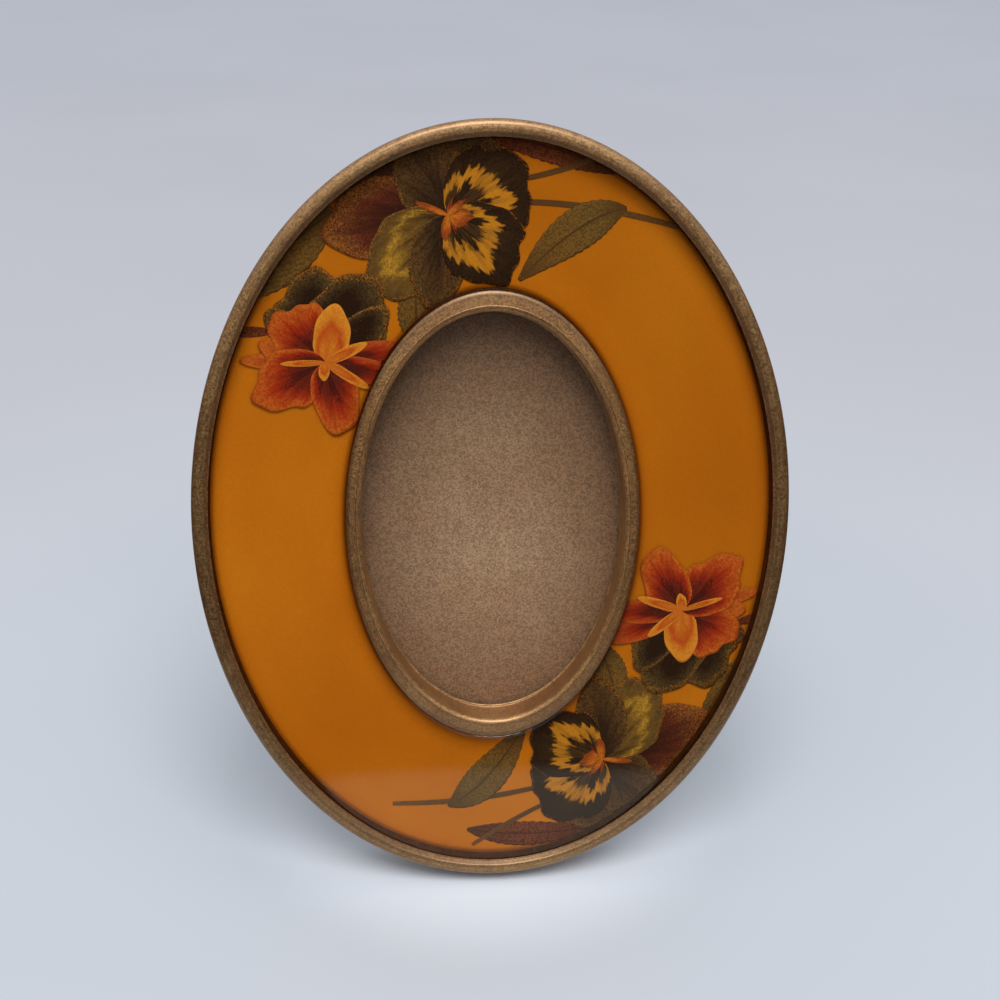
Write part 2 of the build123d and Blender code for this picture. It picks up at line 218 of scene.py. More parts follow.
def make_piece(
    name: str,
    points: np.ndarray,
    polygons: Sequence[np.ndarray],
    material: bpy.types.Material | Sequence[bpy.types.Material],
    uv: np.ndarray | None = None,
    marks: dict[str, np.ndarray] | None = None,
    ink: np.ndarray | None = None,
) -> bpy.types.Object:
    """Puts points and faces into a mesh object at the origin.

    Args:
        name: name of the piece.
        points: points in metres in the room, shape (n, 3).
        polygons: arrays of point numbers, one array for each count of corners.
        material: one finish, or several that the ink numbers pick from.
        uv: one UV place for each point.
        marks: named numbers, one for each point, that the finishes read.
        ink: number of the material of each face.

    Returns:
        The new object.
    """
    mesh = bpy.data.meshes.new(name)
    mesh.vertices.add(len(points))
    mesh.vertices.foreach_set("co", np.asarray(points, np.float32).ravel())
    loops = np.concatenate([faces.ravel() for faces in polygons]).astype(np.int32)
    counts = np.concatenate([np.full(len(faces), faces.shape[1]) for faces in polygons])
    mesh.loops.add(len(loops))
    mesh.loops.foreach_set("vertex_index", loops)
    mesh.polygons.add(len(counts))
    mesh.polygons.foreach_set("loop_start", np.concatenate([[0], np.cumsum(counts)[:-1]]).astype(np.int32))
    mesh.polygons.foreach_set("use_smooth", np.ones(len(counts), bool))
    mesh.update(calc_edges=True)
    if uv is not None:
        mesh.uv_layers.new(name="UVMap").data.foreach_set("uv", np.asarray(uv, np.float32)[loops].ravel())
    for key, values in (marks or {}).items():
        layer = mesh.attributes.new(key, "FLOAT", "POINT")
        layer.data.foreach_set("value", np.asarray(values, np.float32).ravel())
    for one in [material] if isinstance(material, bpy.types.Material) else material:
        mesh.materials.append(one)
    if ink is not None:
        mesh.polygons.foreach_set("material_index", np.asarray(ink, np.int32))
    piece = bpy.data.objects.new(name, mesh)
    bpy.context.scene.collection.objects.link(piece)
    return piece


def disc_piece(
    name: str, corners: Sequence[Corner], material: bpy.types.Material, rings: int = 10
) -> bpy.types.Object:
    """A closed oval plate, from a profile that runs from the middle of its back to the middle of its front.

    The profile's flats to the middle are cut in rings, which shrink to one point at each end. The mark named reach
    is the distance of each point from the plate's edge.

    Args:
        name: name of the piece.
        corners: the profile, with the middle of the back first and the middle of the front last.
        material: its finish.
        rings: how many rings each flat is cut in.

    Returns:
        The new object.
    """
    profile, _ = eased_profile(corners, closed=False)
    share = np.linspace(0, 1, rings + 1)[1:-1, None]
    bottom = profile[0] + (profile[1] - profile[0]) * share
    top = profile[-2] + (profile[-1] - profile[-2]) * share
    rows = np.concatenate([bottom, profile[1:-1], top])
    points = oval_sweep(rows).reshape(-1, 3)
    count = len(rows)
    poles = np.array([[0, 0, profile[0, 2]], [0, 0, profile[-1, 2]]])
    numbers = np.arange(TURNS) * count
    following = np.roll(numbers, -1)
    first = np.stack([np.full(TURNS, TURNS * count), following, numbers], -1)
    last = np.stack([np.full(TURNS, TURNS * count + 1), numbers + count - 1, following + count - 1], -1)
    widest = rows[:, 0].max()
    reach = np.concatenate([np.tile(widest - rows[:, 0], TURNS), [widest, widest]])
    everything = PLACE.world(np.concatenate([points, poles]))
    quads = wrapped_quads(TURNS, count, False)
    return make_piece(name, everything, [quads, first, last], material, marks={"reach": reach})


# Finishes


def linear(red: float, green: float, blue: float) -> Colour:
    """A screen colour, 0 to 255, as light: ((c + 0.055) / 1.055) to the power 2.4, or c / 12.92 when dark."""
    shares = (red / 255, green / 255, blue / 255)
    return tuple(c / 12.92 if c <= 0.04045 else ((c + 0.055) / 1.055) ** 2.4 for c in shares)


def under_resin(red: float, green: float, blue: float) -> Colour:
    """The ink that shows as this screen colour once the resin has tinted it on the way in and out."""
    seen = linear(red, green, blue)
    return tuple(min(BRIGHTEST_INK, s / (t * t * FACE_LIGHT)) for s, t in zip(seen, RESIN_TINT))


class Recipe:
    """The nodes of one material or world, with a short method for each kind that the finishes use."""

    def __init__(self, name: str, world: bpy.types.World | None = None) -> None:
        """Empties the nodes of a new material of that name, or those of a world.

        Args:
            name: name of the material.
            world: the world, if it isn't a material.
        """
        self.material = world or bpy.data.materials.new(name)
        self.material.use_nodes = True
        self.tree = self.material.node_tree
        self.tree.nodes.clear()

    def node(self, kind: str, inputs: dict[str | int, Feed] | None = None, **settings: str) -> bpy.types.Node:
        """Adds a shader node.

        Args:
            kind: node type without its ShaderNode prefix.
            inputs: socket name or number, with a socket to link or a value to set.
            settings: properties of the node.

        Returns:
            The new node.
        """
        made = self.tree.nodes.new("ShaderNode" + kind)
        for key, value in settings.items():
            setattr(made, key, value)
        for key, value in (inputs or {}).items():
            if isinstance(value, bpy.types.NodeSocket):
                self.tree.links.new(value, made.inputs[key])
            elif isinstance(value, tuple) and len(value) == 3 and made.inputs[key].type == "RGBA":
                made.inputs[key].default_value = (*value, 1.0)
            else:
                made.inputs[key].default_value = value
        return made

    def place(self) -> Socket:
        """Object coordinates, in metres."""
        return self.node("TexCoord").outputs["Object"]

    def mark(self, name: str) -> Socket:
        """A named number of the mesh."""
        return self.node("Attribute", attribute_name=name).outputs["Fac"]

    def noise(self, vector: Socket, scale: float, detail: float = 2.0, rough: float = 0.5) -> Socket:
        """Noise from 0 to 1."""
        inputs = {"Vector": vector, "Scale": scale, "Detail": detail, "Roughness": rough}
        return self.node("TexNoise", inputs).outputs["Fac"]

    def cells(self, vector: Socket, scale: float) -> Socket:
        """A number from 0 to 1 for each cell of a random cell pattern."""
        cell = self.node("TexVoronoi", {"Vector": vector, "Scale": scale})
        return self.node("SeparateColor", {"Color": cell.outputs["Color"]}).outputs["Red"]

    def sum(self, kind: str, a: Feed, b: Feed = 0.0, c: Feed = 0.0) -> Socket:
        """One step of arithmetic, such as ADD, MULTIPLY or MULTIPLY_ADD."""
        return self.node("Math", {0: a, 1: b, 2: c}, operation=kind).outputs["Value"]

    def span(self, value: Feed, low: float, high: float, to_low: float = 0.0, to_high: float = 1.0) -> Socket:
        """Moves a range of numbers to another, softly and clamped."""
        inputs = {"Value": value, "From Min": low, "From Max": high, "To Min": to_low, "To Max": to_high}
        return self.node("MapRange", inputs, interpolation_type="SMOOTHSTEP").outputs["Result"]

    def mix(self, share: Feed, a: Feed, b: Feed, blend: str = "MIX") -> Socket:
        """Mixes two colours."""
        inputs = {0: share, 6: a, 7: b}
        return self.node("Mix", inputs, data_type="RGBA", blend_type=blend).outputs[2]

    def toned(self, colour: Feed, tone: Socket) -> Socket:
        """A colour times a number."""
        grey = self.node("CombineColor", {"Red": tone, "Green": tone, "Blue": tone}).outputs["Color"]
        return self.mix(1.0, colour, grey, "MULTIPLY")

    def ramp(self, value: Feed, stops: Sequence[tuple[float, Colour]]) -> Socket:
        """A run of colours along a number from 0 to 1.

        Args:
            value: the number.
            stops: places along it with their colours, in order.

        Returns:
            The colour there.
        """
        made = self.node("ValToRGB", {"Fac": value})
        row = made.color_ramp.elements
        row[0].position, row[1].position = stops[0][0], stops[-1][0]
        row[0].color, row[1].color = (*stops[0][1], 1.0), (*stops[-1][1], 1.0)
        for position, colour in stops[1:-1]:
            row.new(position).color = (*colour, 1.0)
        return made.outputs["Color"]

    def bump(self, height: Feed, distance: float, strength: float = 1.0) -> Socket:
        """A normal that follows a height."""
        inputs = {"Height": height, "Distance": distance, "Strength": strength}
        return self.node("Bump", inputs).outputs["Normal"]

    def fresnel(self, ior: float, normal: Socket | None = None) -> Socket:
        """The share that a clear shell mirrors, the same from inside as from outside, so no light is held in.

        Args:
            ior: index of refraction of the shell.
            normal: its bumped normal, if it has one.

        Returns:
            The share, from 0 to 1.
        """
        behind = self.node("NewGeometry").outputs["Backfacing"]
        inputs = {"IOR": self.sum("MULTIPLY_ADD", behind, 1 / ior - ior, ior)}
        if normal is not None:
            inputs["Normal"] = normal
        return self.node("Fresnel", inputs).outputs[0]

    def finish(self, shader: Socket) -> bpy.types.Material:
        """Ends the material with this shader."""
        self.tree.links.new(shader, self.node("OutputMaterial").inputs["Surface"])
        return self.material

    def surface(self, inputs: dict[str, Feed]) -> bpy.types.Material:
        """Ends the material as one solid surface."""
        return self.finish(self.node("BsdfPrincipled", inputs).outputs["BSDF"])

    def shell(self, share: Socket, clear: Socket, gloss: Socket) -> bpy.types.Material:
        """Ends the material as a mix of two shaders."""
        return self.finish(self.node("MixShader", {0: share, 1: clear, 2: gloss}).outputs[0])


@dataclass(frozen=True)
class BronzePowder:
    """Matte metal powder in lacquer, with fine glitter, soft cloudiness, edges rubbed bright and painted shade where
    the mesh marks it.

    Attributes:
        name: name of the material.
        body: colour of the powder.
        shade: colour of its duller clouds.
        rubbed: colour of the rubbed edges.
        metallic: share of the surface that is metal.
        roughness: roughness of the powder.
        lacquer: weight of the clear lacquer over it.
        grain: powder grains in a metre.
        glitter: how much the grains differ in brightness.
        relief: height of the grain in metres.
        painted_shade_strength: how strongly the painted shade darkens the parts that the mesh marks for it.
        clouds: clouds in a metre.
        wear: patches of rubbed edge in a metre.
        lacquer_roughness: roughness of the lacquer.
        lacquer_ior: index of refraction of the lacquer.
    """

    name: str
    body: Colour
    shade: Colour
    rubbed: Colour
    metallic: float = 0.8
    roughness: float = 0.46
    lacquer: float = 0.3
    grain: float = 6200.0
    glitter: float = 0.42
    relief: float = 1.6e-5
    painted_shade_strength: float = 0.42
    clouds: float = 130.0
    wear: float = 900.0
    lacquer_roughness: float = 0.34
    lacquer_ior: float = 1.9

    def material(self) -> bpy.types.Material:
        """Builds the node material.

        Returns:
            The new material.
        """
        r = Recipe(self.name)
        place = r.place()
        grains = r.cells(place, self.grain)
        coarse = r.noise(place, self.grain / 1.7, 2.0, 0.6)
        clouds = r.noise(place, self.clouds, 3.0, 0.55)
        colour = r.mix(r.span(clouds, 0.3, 0.74), self.shade, self.body)
        worn = r.sum("MULTIPLY", r.mark("worn"), r.span(r.noise(place, self.wear, 3.0), 0.3, 0.62))
        colour = r.mix(worn, colour, self.rubbed)
        # Painted shade: the mark named dull darkens the casting towards a near-black brown.
        colour = r.mix(r.sum("MULTIPLY", r.mark("painted_shade"), self.painted_shade_strength), colour, PAINTED_SHADE_COLOUR)
        sparkle = r.sum("ADD", r.sum("MULTIPLY", grains, 0.65), r.sum("MULTIPLY", coarse, 0.35))
        colour = r.toned(colour, r.span(sparkle, 0.05, 0.95, 1 - self.glitter, 1 + self.glitter))
        rough = r.span(grains, 0.0, 1.0, self.roughness - 0.1, self.roughness + 0.12)
        rough = r.sum("MULTIPLY_ADD", worn, -0.12, rough)
        normal = r.bump(r.sum("ADD", grains, r.sum("MULTIPLY", coarse, 1.2)), self.relief, 0.55)
        inputs = {"Base Color": colour, "Metallic": self.metallic, "Roughness": rough, "Normal": normal}
        coat = {"Coat Weight": self.lacquer, "Coat Roughness": self.lacquer_roughness, "Coat IOR": self.lacquer_ior}
        return r.surface(inputs | coat)


@dataclass(frozen=True)
class CoatedCard:
    """The card in the window: bronze powder on card, a little cloudy, with painted shade towards its edge and a
    painted shadow over its top, lighter towards its bottom.

    Attributes:
        name: name of the material.
        body: colour of the powder.
        shade: colour of its duller clouds.
        edge: colour of the painted shade towards the card's edge.
        painted_edge_shade_width: how far that painted shade reaches in, in millimetres.
        low: lowest height of the card in the room, in metres.
        high: highest height of the card in the room, in metres.
        painted_shadow_by_height: painted light and shadow by height, the brightness of each channel at the lowest and
            at the highest height.
        grain: powder grains in a metre.
        coarse: clumps of grains in a metre.
        clouds: clouds in a metre.
        relief: height of the grain in metres.
        metallic: share of the surface that is metal.
        roughness: roughness of the powder.
    """

    name: str = "bronze_card"
    body: Colour = linear(183, 150, 118)
    shade: Colour = linear(170, 134, 101)
    edge: Colour = linear(132, 96, 70)
    painted_edge_shade_width: float = 16.0
    low: float = 0.02
    high: float = 0.088
    painted_shadow_by_height: tuple[tuple[str, float, float], ...] = (("Red", 1.24, 0.66), ("Green", 1.2, 0.6), ("Blue", 1.18, 0.56))
    grain: float = 5200.0
    coarse: float = 1900.0
    clouds: float = 75.0
    relief: float = 1.6e-5
    metallic: float = 0.35
    roughness: float = 0.5

    def material(self) -> bpy.types.Material:
        """Builds the node material.

        Returns:
            The new material.
        """
        r = Recipe(self.name)
        place = r.place()
        grains = r.cells(place, self.grain)
        coarse = r.noise(place, self.coarse, 3.0, 0.65)
        clouds = r.noise(place, self.clouds, 3.0, 0.6)
        colour = r.mix(r.span(clouds, 0.34, 0.7), self.shade, self.body)
        # Painted shade towards the card's edge, which leaves it lightest in the middle.
        painted_edge_shade = r.span(r.mark("reach"), 1.0, self.painted_edge_shade_width, 1.0, 0.0)
        colour = r.mix(r.sum("MULTIPLY", painted_edge_shade, 0.8), colour, self.edge)
        # Painted shadow over the card's top, where the lip shades it, and painted light towards its bottom.
        upright = r.node("SeparateXYZ", {0: place}).outputs["Z"]
        channels = {name: r.span(upright, self.low, self.high, *ends) for name, *ends in self.painted_shadow_by_height}
        aged = r.node("CombineColor", channels).outputs["Color"]
        colour = r.mix(1.0, colour, aged, "MULTIPLY")
        sparkle = r.sum("ADD", r.sum("MULTIPLY", grains, 0.75), r.sum("MULTIPLY", coarse, 0.25))
        colour = r.toned(colour, r.span(sparkle, 0.1, 0.9, 0.7, 1.32))
        normal = r.bump(r.sum("ADD", grains, coarse), self.relief, 0.5)
        inputs = {"Base Color": colour, "Metallic": self.metallic, "Roughness": self.roughness, "Normal": normal}
        return r.surface(inputs)


@dataclass(frozen=True)
class PrintedGround:
    """The plain ground of the print: paper toned to amber, with faint clouds and dots, painted light at its margins,
    and painted light and shade that make it lighter towards the lower left and darker towards the upper right.

    Attributes:
        name: name of the material.
        body: colour of the paper.
        deep: colour of its darker clouds.
        light: colour of its lighter clouds.
        clouds: clouds in a metre.
        dots: print dots in a metre.
        tooth: bumps of the paper in a metre.
        painted_margin_light_width: how far the painted light at the margins reaches, in millimetres.
    """

    name: str = "print_ground"
    body: Colour = under_resin(167, 91, 7)
    deep: Colour = under_resin(158, 83, 5)
    light: Colour = under_resin(176, 101, 12)
    clouds: float = 28.0
    dots: float = 5200.0
    tooth: float = 2600.0
    painted_margin_light_width: float = 6.0

    def material(self) -> bpy.types.Material:
        """Builds the node material.

        Returns:
            The new material.
        """
        r = Recipe(self.name)
        place = r.place()
        clouds = r.noise(place, self.clouds, 3.0, 0.5)
        colour = r.ramp(clouds, [(0.3, self.deep), (0.5, self.body), (0.72, self.light)])
        # Painted light and shade: lighter towards the lower left of the room, darker towards the upper right.
        at = r.node("SeparateXYZ", {0: place})
        slant = r.sum("ADD", at.outputs["X"], at.outputs["Z"])
        painted_slant_light = r.span(slant, -0.01, 0.12, 1.06, 0.9)
        # Painted light along the margins, which lightens the shade of the walls.
        margin = r.span(r.mark("reach"), 0.0, self.painted_margin_light_width, 1.14, 1.0)
        dotted = r.span(r.cells(place, self.dots), 0.0, 1.0, 0.965, 1.035)
        colour = r.toned(colour, r.sum("MULTIPLY", dotted, r.sum("MULTIPLY", painted_slant_light, margin)))
        normal = r.bump(r.noise(place, self.tooth, 3.0), 8e-6, 0.3)
        return r.surface({"Base Color": colour, "Roughness": 0.7, "Specular IOR Level": 0.1, "Normal": normal})


@dataclass(frozen=True)
class Ink:
    """The printing of one kind of petal, leaf or stem, read along and across it from its UV map.

    Attributes:
        name: name of the material.
        bands: colours from the root, 0, to the tip, 1.
        teeth: how far the bands run in and out along the veins.
        tooth_count: teeth across the petal.
        vein: colour of the veins.
        vein_strength: how strongly they show.
        vein_count: veins across the petal.
        vein_end: where along the petal they have faded.
        dot: colour of the stipple.
        dot_strength: how strongly it shows.
        dot_start: where along the petal the stipple starts.
        margin: colour of the fine line along the petal's edge.
        margin_strength: how strongly it shows.
        midrib: strength of a dark line down the middle, for leaves.
        fringe: share of the length over which the ink thins out in specks towards its edge.
        bare: colour of those specks.
        dot_scale: stipple dots in a metre.
        speck_scale: bare specks in a metre.
    """

    name: str
    bands: tuple[tuple[float, Colour], ...]
    teeth: float = 0.12
    tooth_count: float = 26.0
    vein: Colour = (0.02, 0.01, 0.01)
    vein_strength: float = 0.5
    vein_count: float = 34.0
    vein_end: float = 0.85
    dot: Colour = (0.03, 0.015, 0.01)
    dot_strength: float = 0.4
    dot_start: float = 0.2
    margin: Colour = (0.05, 0.02, 0.01)
    margin_strength: float = 0.5
    midrib: float = 0.0
    fringe: float = 0.4
    bare: Colour = under_resin(158, 92, 24)
    dot_scale: float = 3300.0
    speck_scale: float = 5200.0

    def material(self) -> bpy.types.Material:
        """Builds the node material.

        Returns:
            The new material.
        """
        r = Recipe(self.name)
        place = r.place()
        uv = r.node("SeparateXYZ", {0: r.node("UVMap").outputs["UV"]})
        u, v = uv.outputs["X"], uv.outputs["Y"]
        along = {"X": r.sum("MULTIPLY", u, self.tooth_count), "Y": r.sum("MULTIPLY", v, 2.2)}
        teeth = r.noise(r.node("CombineXYZ", along).outputs[0], 1.0, 3.0, 0.65)
        reach = r.sum("MULTIPLY_ADD", r.sum("SUBTRACT", teeth, 0.5), self.teeth * 2, v)
        colour = r.ramp(reach, self.bands)
        fine = {"X": r.sum("MULTIPLY", u, self.vein_count), "Y": r.sum("MULTIPLY", v, 1.1), "Z": 7.0}
        veins = r.span(r.noise(r.node("CombineXYZ", fine).outputs[0], 1.0, 3.0, 0.7), 0.44, 0.56)
        veins = r.sum("MULTIPLY", veins, r.span(v, 0.1, self.vein_end, 1.0, 0.0))
        colour = r.mix(r.sum("MULTIPLY", veins, self.vein_strength), colour, self.vein)
        dots = r.span(r.noise(place, self.dot_scale, 2.0, 0.7), 0.46, 0.58)
        dots = r.sum("MULTIPLY", dots, r.span(v, self.dot_start - 0.15, self.dot_start + 0.15))
        colour = r.mix(r.sum("MULTIPLY", dots, self.dot_strength), colour, self.dot)
        side = r.sum("ABSOLUTE", r.sum("SUBTRACT", u, 0.5))
        edge = r.sum("MAXIMUM", r.span(v, 0.93, 1.0), r.span(side, 0.47, 0.5))
        colour = r.mix(r.sum("MULTIPLY", edge, self.margin_strength), colour, self.margin)
        fringe = r.span(v, 1 - self.fringe, 1.0)
        specks = r.sum("MULTIPLY_ADD", fringe, 0.2, r.noise(place, self.speck_scale, 2.0, 0.65))
        colour = r.mix(r.span(specks, 0.68, 0.76, 0.0, 0.6), colour, self.bare)
        if self.midrib:
            rib = r.span(side, 0.015, 0.05, 1.0, 0.0)
            slant = r.sum("MULTIPLY_ADD", side, -1.4, v)
            ribs = r.span(r.sum("PINGPONG", r.sum("MULTIPLY", slant, 9.0), 0.5), 0.0, 0.16, 0.6, 0.0)
            colour = r.mix(r.sum("MULTIPLY", r.sum("MAXIMUM", rib, ribs), self.midrib), colour, self.vein)
        return r.surface({"Base Color": colour, "Roughness": 0.7, "Specular IOR Level": 0.1})


@dataclass(frozen=True)
class AmberResin:
    """Poured resin: a tinted clear shell with a wet gloss, darker where it meets the metal, partly from its deeper
    colour there and partly from painted shade of the walls.

    Attributes:
        name: name of the material.
        tint: colour of the resin away from the metal.
        soft: colour a little nearer to the metal.
        deep: colour close to the metal.
        darkest: colour at the metal.
        mirror: colour of its reflections.
        reach: distance from the metal, in millimetres, that the colours are spread over.
        roughness: roughness of its surface.
        ior: its index of refraction.
        ripples: shallow ripples in a metre.
    """

    name: str = "amber_resin"
    tint: Colour = RESIN_TINT
    soft: Colour = (0.955, 0.84, 0.6)
    deep: Colour = (0.8, 0.68, 0.47)
    darkest: Colour = (0.5, 0.36, 0.28)
    mirror: Colour = (0.95, 0.9, 0.72)
    reach: float = 6.0
    roughness: float = 0.035
    ior: float = 1.5
    ripples: float = 90.0

    def material(self) -> bpy.types.Material:
        """Builds the node material.

        Returns:
            The new material.
        """
        r = Recipe(self.name)
        # Darker near the metal: partly the deeper resin of its rising edge, partly painted shade of the walls and a
        # painted view of the metal wall below the surface.
        depth = r.sum("MULTIPLY", r.mark("reach"), 1 / self.reach)
        tint = r.ramp(depth, [(0.02, self.darkest), (0.07, self.deep), (0.15, self.soft), (0.4, self.tint)])
        clear = r.node("BsdfTransparent", {"Color": tint}).outputs[0]
        wave = r.bump(r.noise(r.place(), self.ripples, 2.0), 1.2e-5, 0.25)
        gloss = r.node("BsdfGlossy", {"Color": self.mirror, "Roughness": self.roughness, "Normal": wave}).outputs[0]
        return r.shell(r.fresnel(self.ior, wave), clear, gloss)


@dataclass(frozen=True)
class ClearGlass:
    """Thin clean glass: clear, with a weak gloss.

    Attributes:
        name: name of the material.
        tint: colour of the glass.
        strength: share of its gloss that is shown.
        ior: its index of refraction.
        smears: smears in a metre.
    """

    name: str = "clear_glass"
    tint: Colour = (0.955, 0.965, 0.955)
    strength: float = 0.55
    ior: float = 1.45
    smears: float = 45.0

    def material(self) -> bpy.types.Material:
        """Builds the node material.

        Returns:
            The new material.
        """
        r = Recipe(self.name)
        smears = r.span(r.noise(r.place(), self.smears, 3.0), 0.4, 0.7, 0.02, 0.07)
        clear = r.node("BsdfTransparent", {"Color": self.tint}).outputs[0]
        gloss = r.node("BsdfGlossy", {"Color": (1.0, 1.0, 1.0), "Roughness": smears}).outputs[0]
        return r.shell(r.sum("MULTIPLY", r.fresnel(self.ior), self.strength), clear, gloss)


class Rolling(Enum):
    """Which way the rolling marks of a sheet run."""

    ACROSS = (40.0, 2200.0, 2200.0)
    UPRIGHT = (2200.0, 900.0, 40.0)
    NONE = (500.0, 500.0, 500.0)


@dataclass(frozen=True)
class SheetMetal:
    """Rolled, stamped or turned metal with rolling marks, stains and small scratches.

    Attributes:
        name: name of the material.
        body: colour of the clean metal.
        stain: colour of the aged patches.
        rolling: which way the rolling marks run.
        roughness: mean roughness.
        age: share of the surface that is stained.
        metallic: share of the surface that is metal.
        patches: stained patches in a metre.
        specks: small scratches in a metre.
    """

    name: str
    body: Colour
    stain: Colour
    rolling: Rolling = Rolling.NONE
    roughness: float = 0.38
    age: float = 0.45
    metallic: float = 1.0
    patches: float = 150.0
    specks: float = 1500.0

    def material(self) -> bpy.types.Material:
        """Builds the node material.

        Returns:
            The new material.
        """
        r = Recipe(self.name)
        place = r.place()
        stretched = r.node("Mapping", {"Vector": place, "Scale": self.rolling.value}).outputs[0]
        streaks = r.noise(stretched, 1.0, 3.0, 0.6)
        patches = r.noise(place, self.patches, 6.0, 0.7)
        specks = r.noise(place, self.specks, 2.0, 0.6)
        stained = r.span(patches, 0.66 - self.age * 0.5, 1.02 - self.age * 0.4)
        colour = r.mix(r.sum("MULTIPLY", stained, 0.62), self.body, self.stain)
        marked = r.sum("ADD", streaks, r.sum("MULTIPLY", specks, 0.4))
        colour = r.toned(colour, r.span(marked, 0.35, 1.05, 0.82, 1.14))
        rolled = r.span(streaks, 0.2, 0.8, self.roughness - 0.07, self.roughness + 0.1)
        rough = r.sum("MULTIPLY_ADD", stained, 0.16, rolled)
        normal = r.bump(r.sum("MULTIPLY_ADD", specks, 0.5, streaks), 1.5e-5, 0.35)
        return r.surface({"Base Color": colour, "Metallic": self.metallic, "Roughness": rough, "Normal": normal})


# The casting


@dataclass
class Casting:
    """The oval tray: outer wall with its rounded rim, channel, bezel, drafted window wall, pocket, ribs and bosses.

    Heights are above the back edge. The rim runs from its rounded outside over a shoulder to an arris, then down a
    slope to a narrow ledge and the channel. The bezel runs over a shoulder to a bead, a groove and the lip of the
    window, whose wall leans in to its foot and its seat.
    """

    outline: Oval = Oval(39.94, 52.26)
    depth: float = 8.88
    draft: float = 0.24
    rim_face: float = 1.65
    rim_slope: float = 0.42
    rim_round: float = 0.72
    rim_fall: float = 0.2
    rim_shoulder: float = 1.0
    rim_arris: float = 0.14
    rim_ledge: float = 0.15
    ledge_drop: float = 0.55
    back_chamfer: float = 0.5
    skirt_thickness: float = 1.8
    channel_floor: float = 6.0
    bezel: Oval = Oval(19.7, 31.05)
    bezel_shoulder: float = 8.25
    bezel_top: float = 8.5
    bezel_edge: float = 0.4
    window: Oval = Oval(17.7, 28.3)
    bead_width: float = 0.78
    bead_lean: float = 0.05
    bead_top: float = 8.6
    groove: float = 0.62
    groove_floor: float = 8.54
    lip_top: float = 8.66
    lip_lean: float = 0.07
    lip_round: float = 0.6
    foot: Oval = Oval(17.67, 28.08)
    foot_height: float = 4.62
    seat: Oval = Oval(17.55, 27.75)
    flange_front: float = 4.53
    pane_seat: float = 4.4
    pane_pocket: float = 3.0
    plate_pocket: Oval = Oval(27.25, 38.75)
    plate_front: float = 2.7
    plate_back: float = 1.9
    pocket_wall: float = 1.6
    notch_radius: float = 5.0
    notch_depth: float = 1.5
    notch_reach: float = 1.0
    rib_angles: tuple[float, ...] = (12.0, 66.0, 114.0, 168.0, 192.0, 246.0, 294.0, 348.0)
    rib_thickness: float = 1.2
    rib_step_down: float = 0.3
    rib_sink: float = 0.3
    rib_overlap: float = 0.9
    rib_end: float = 0.82
    rib_sides: int = 32
    rib_lengths: int = 9
    boss_oval: Oval = Oval(31.3, 42.8)
    boss_angle: float = 40.0
    boss_radius: float = 2.75
    boss_hole: float = 1.05
    boss_top: float = 1.8
    boss_sink: float = 0.2
    boss_turns: int = 56
    finish: BronzePowder = BronzePowder(
        "bronze_powder", linear(167, 124, 73), linear(148, 105, 60), linear(197, 161, 103)
    )

    def rim_inner(self) -> Oval:
        """Inner edge of the rim's face."""
        return self.outline.inset(self.rim_face)

    def channel(self) -> Oval:
        """Outer wall of the resin's channel."""
        return self.rim_inner().inset(self.rim_slope + self.rim_ledge)

    def corners(self) -> list[Corner]:
        """The closed profile, from the back edge up the outside, over rim and bezel and back through the pocket.

        Returns:
            Its corners, each with its oval, its height, its rounding and how much it is rubbed.
        """
        ledge = self.depth - self.ledge_drop
        slope = self.rim_inner().inset(self.rim_slope)
        bead, groove = self.window.inset(-self.bead_width), self.window.inset(-self.groove)
        pocket = self.seat.inset(-self.pane_pocket)
        wall = self.plate_pocket.inset(-self.pocket_wall)
        skirt = self.outline.inset(self.skirt_thickness)
        return [
            Corner(self.outline.inset(self.back_chamfer), 0.0, 0.15, 0.3),
            Corner(self.outline.inset(self.draft), self.back_chamfer, 0.15, 0.3),
            Corner(self.outline, self.depth - self.rim_fall, self.rim_round, 0.2),
            Corner(self.outline.inset(self.rim_shoulder), self.depth, 0.2, 0.55),
            Corner(self.rim_inner(), self.depth, self.rim_arris, 0.4),
            Corner(slope, ledge, 0.05),
            Corner(self.channel(), ledge, 0.05, 0.5),
            Corner(self.channel(), self.channel_floor, 0.2),
            Corner(self.bezel, self.channel_floor, 0.2),
            Corner(self.bezel, self.bezel_shoulder, self.bezel_edge, 0.0),
            Corner(bead, self.bezel_top, 0.03),
            Corner(bead, self.bead_top, 0.04, 0.7),
            Corner(groove.inset(-self.bead_lean), self.bead_top, 0.03),
            Corner(groove, self.groove_floor, 0.02),
            Corner(groove.inset(self.lip_lean), self.lip_top, 0.04),
            Corner(self.window, self.lip_top, self.lip_round, 0.15),
            Corner(self.foot, self.foot_height, 0.07),
            # The seat's edge is rubbed for wear and is also a painted highlight: the pale line at the foot of the
            # window wall.
            Corner(self.seat, self.flange_front, 0.05, 0.5),
            Corner(self.seat, self.pane_seat, 0.04),
            Corner(pocket, self.pane_seat, 0.1),
            Corner(pocket, self.plate_front, 0.1),
            Corner(self.plate_pocket, self.plate_front, 0.1),
            Corner(self.plate_pocket, self.plate_back, 0.15, 0.6),
            Corner(wall, self.plate_back, 0.3, 0.6),
            Corner(wall, self.pane_seat, 0.35),
            Corner(skirt, self.pane_seat, 0.5),
            Corner(skirt, 0.0, 0.2, 0.4),
        ]

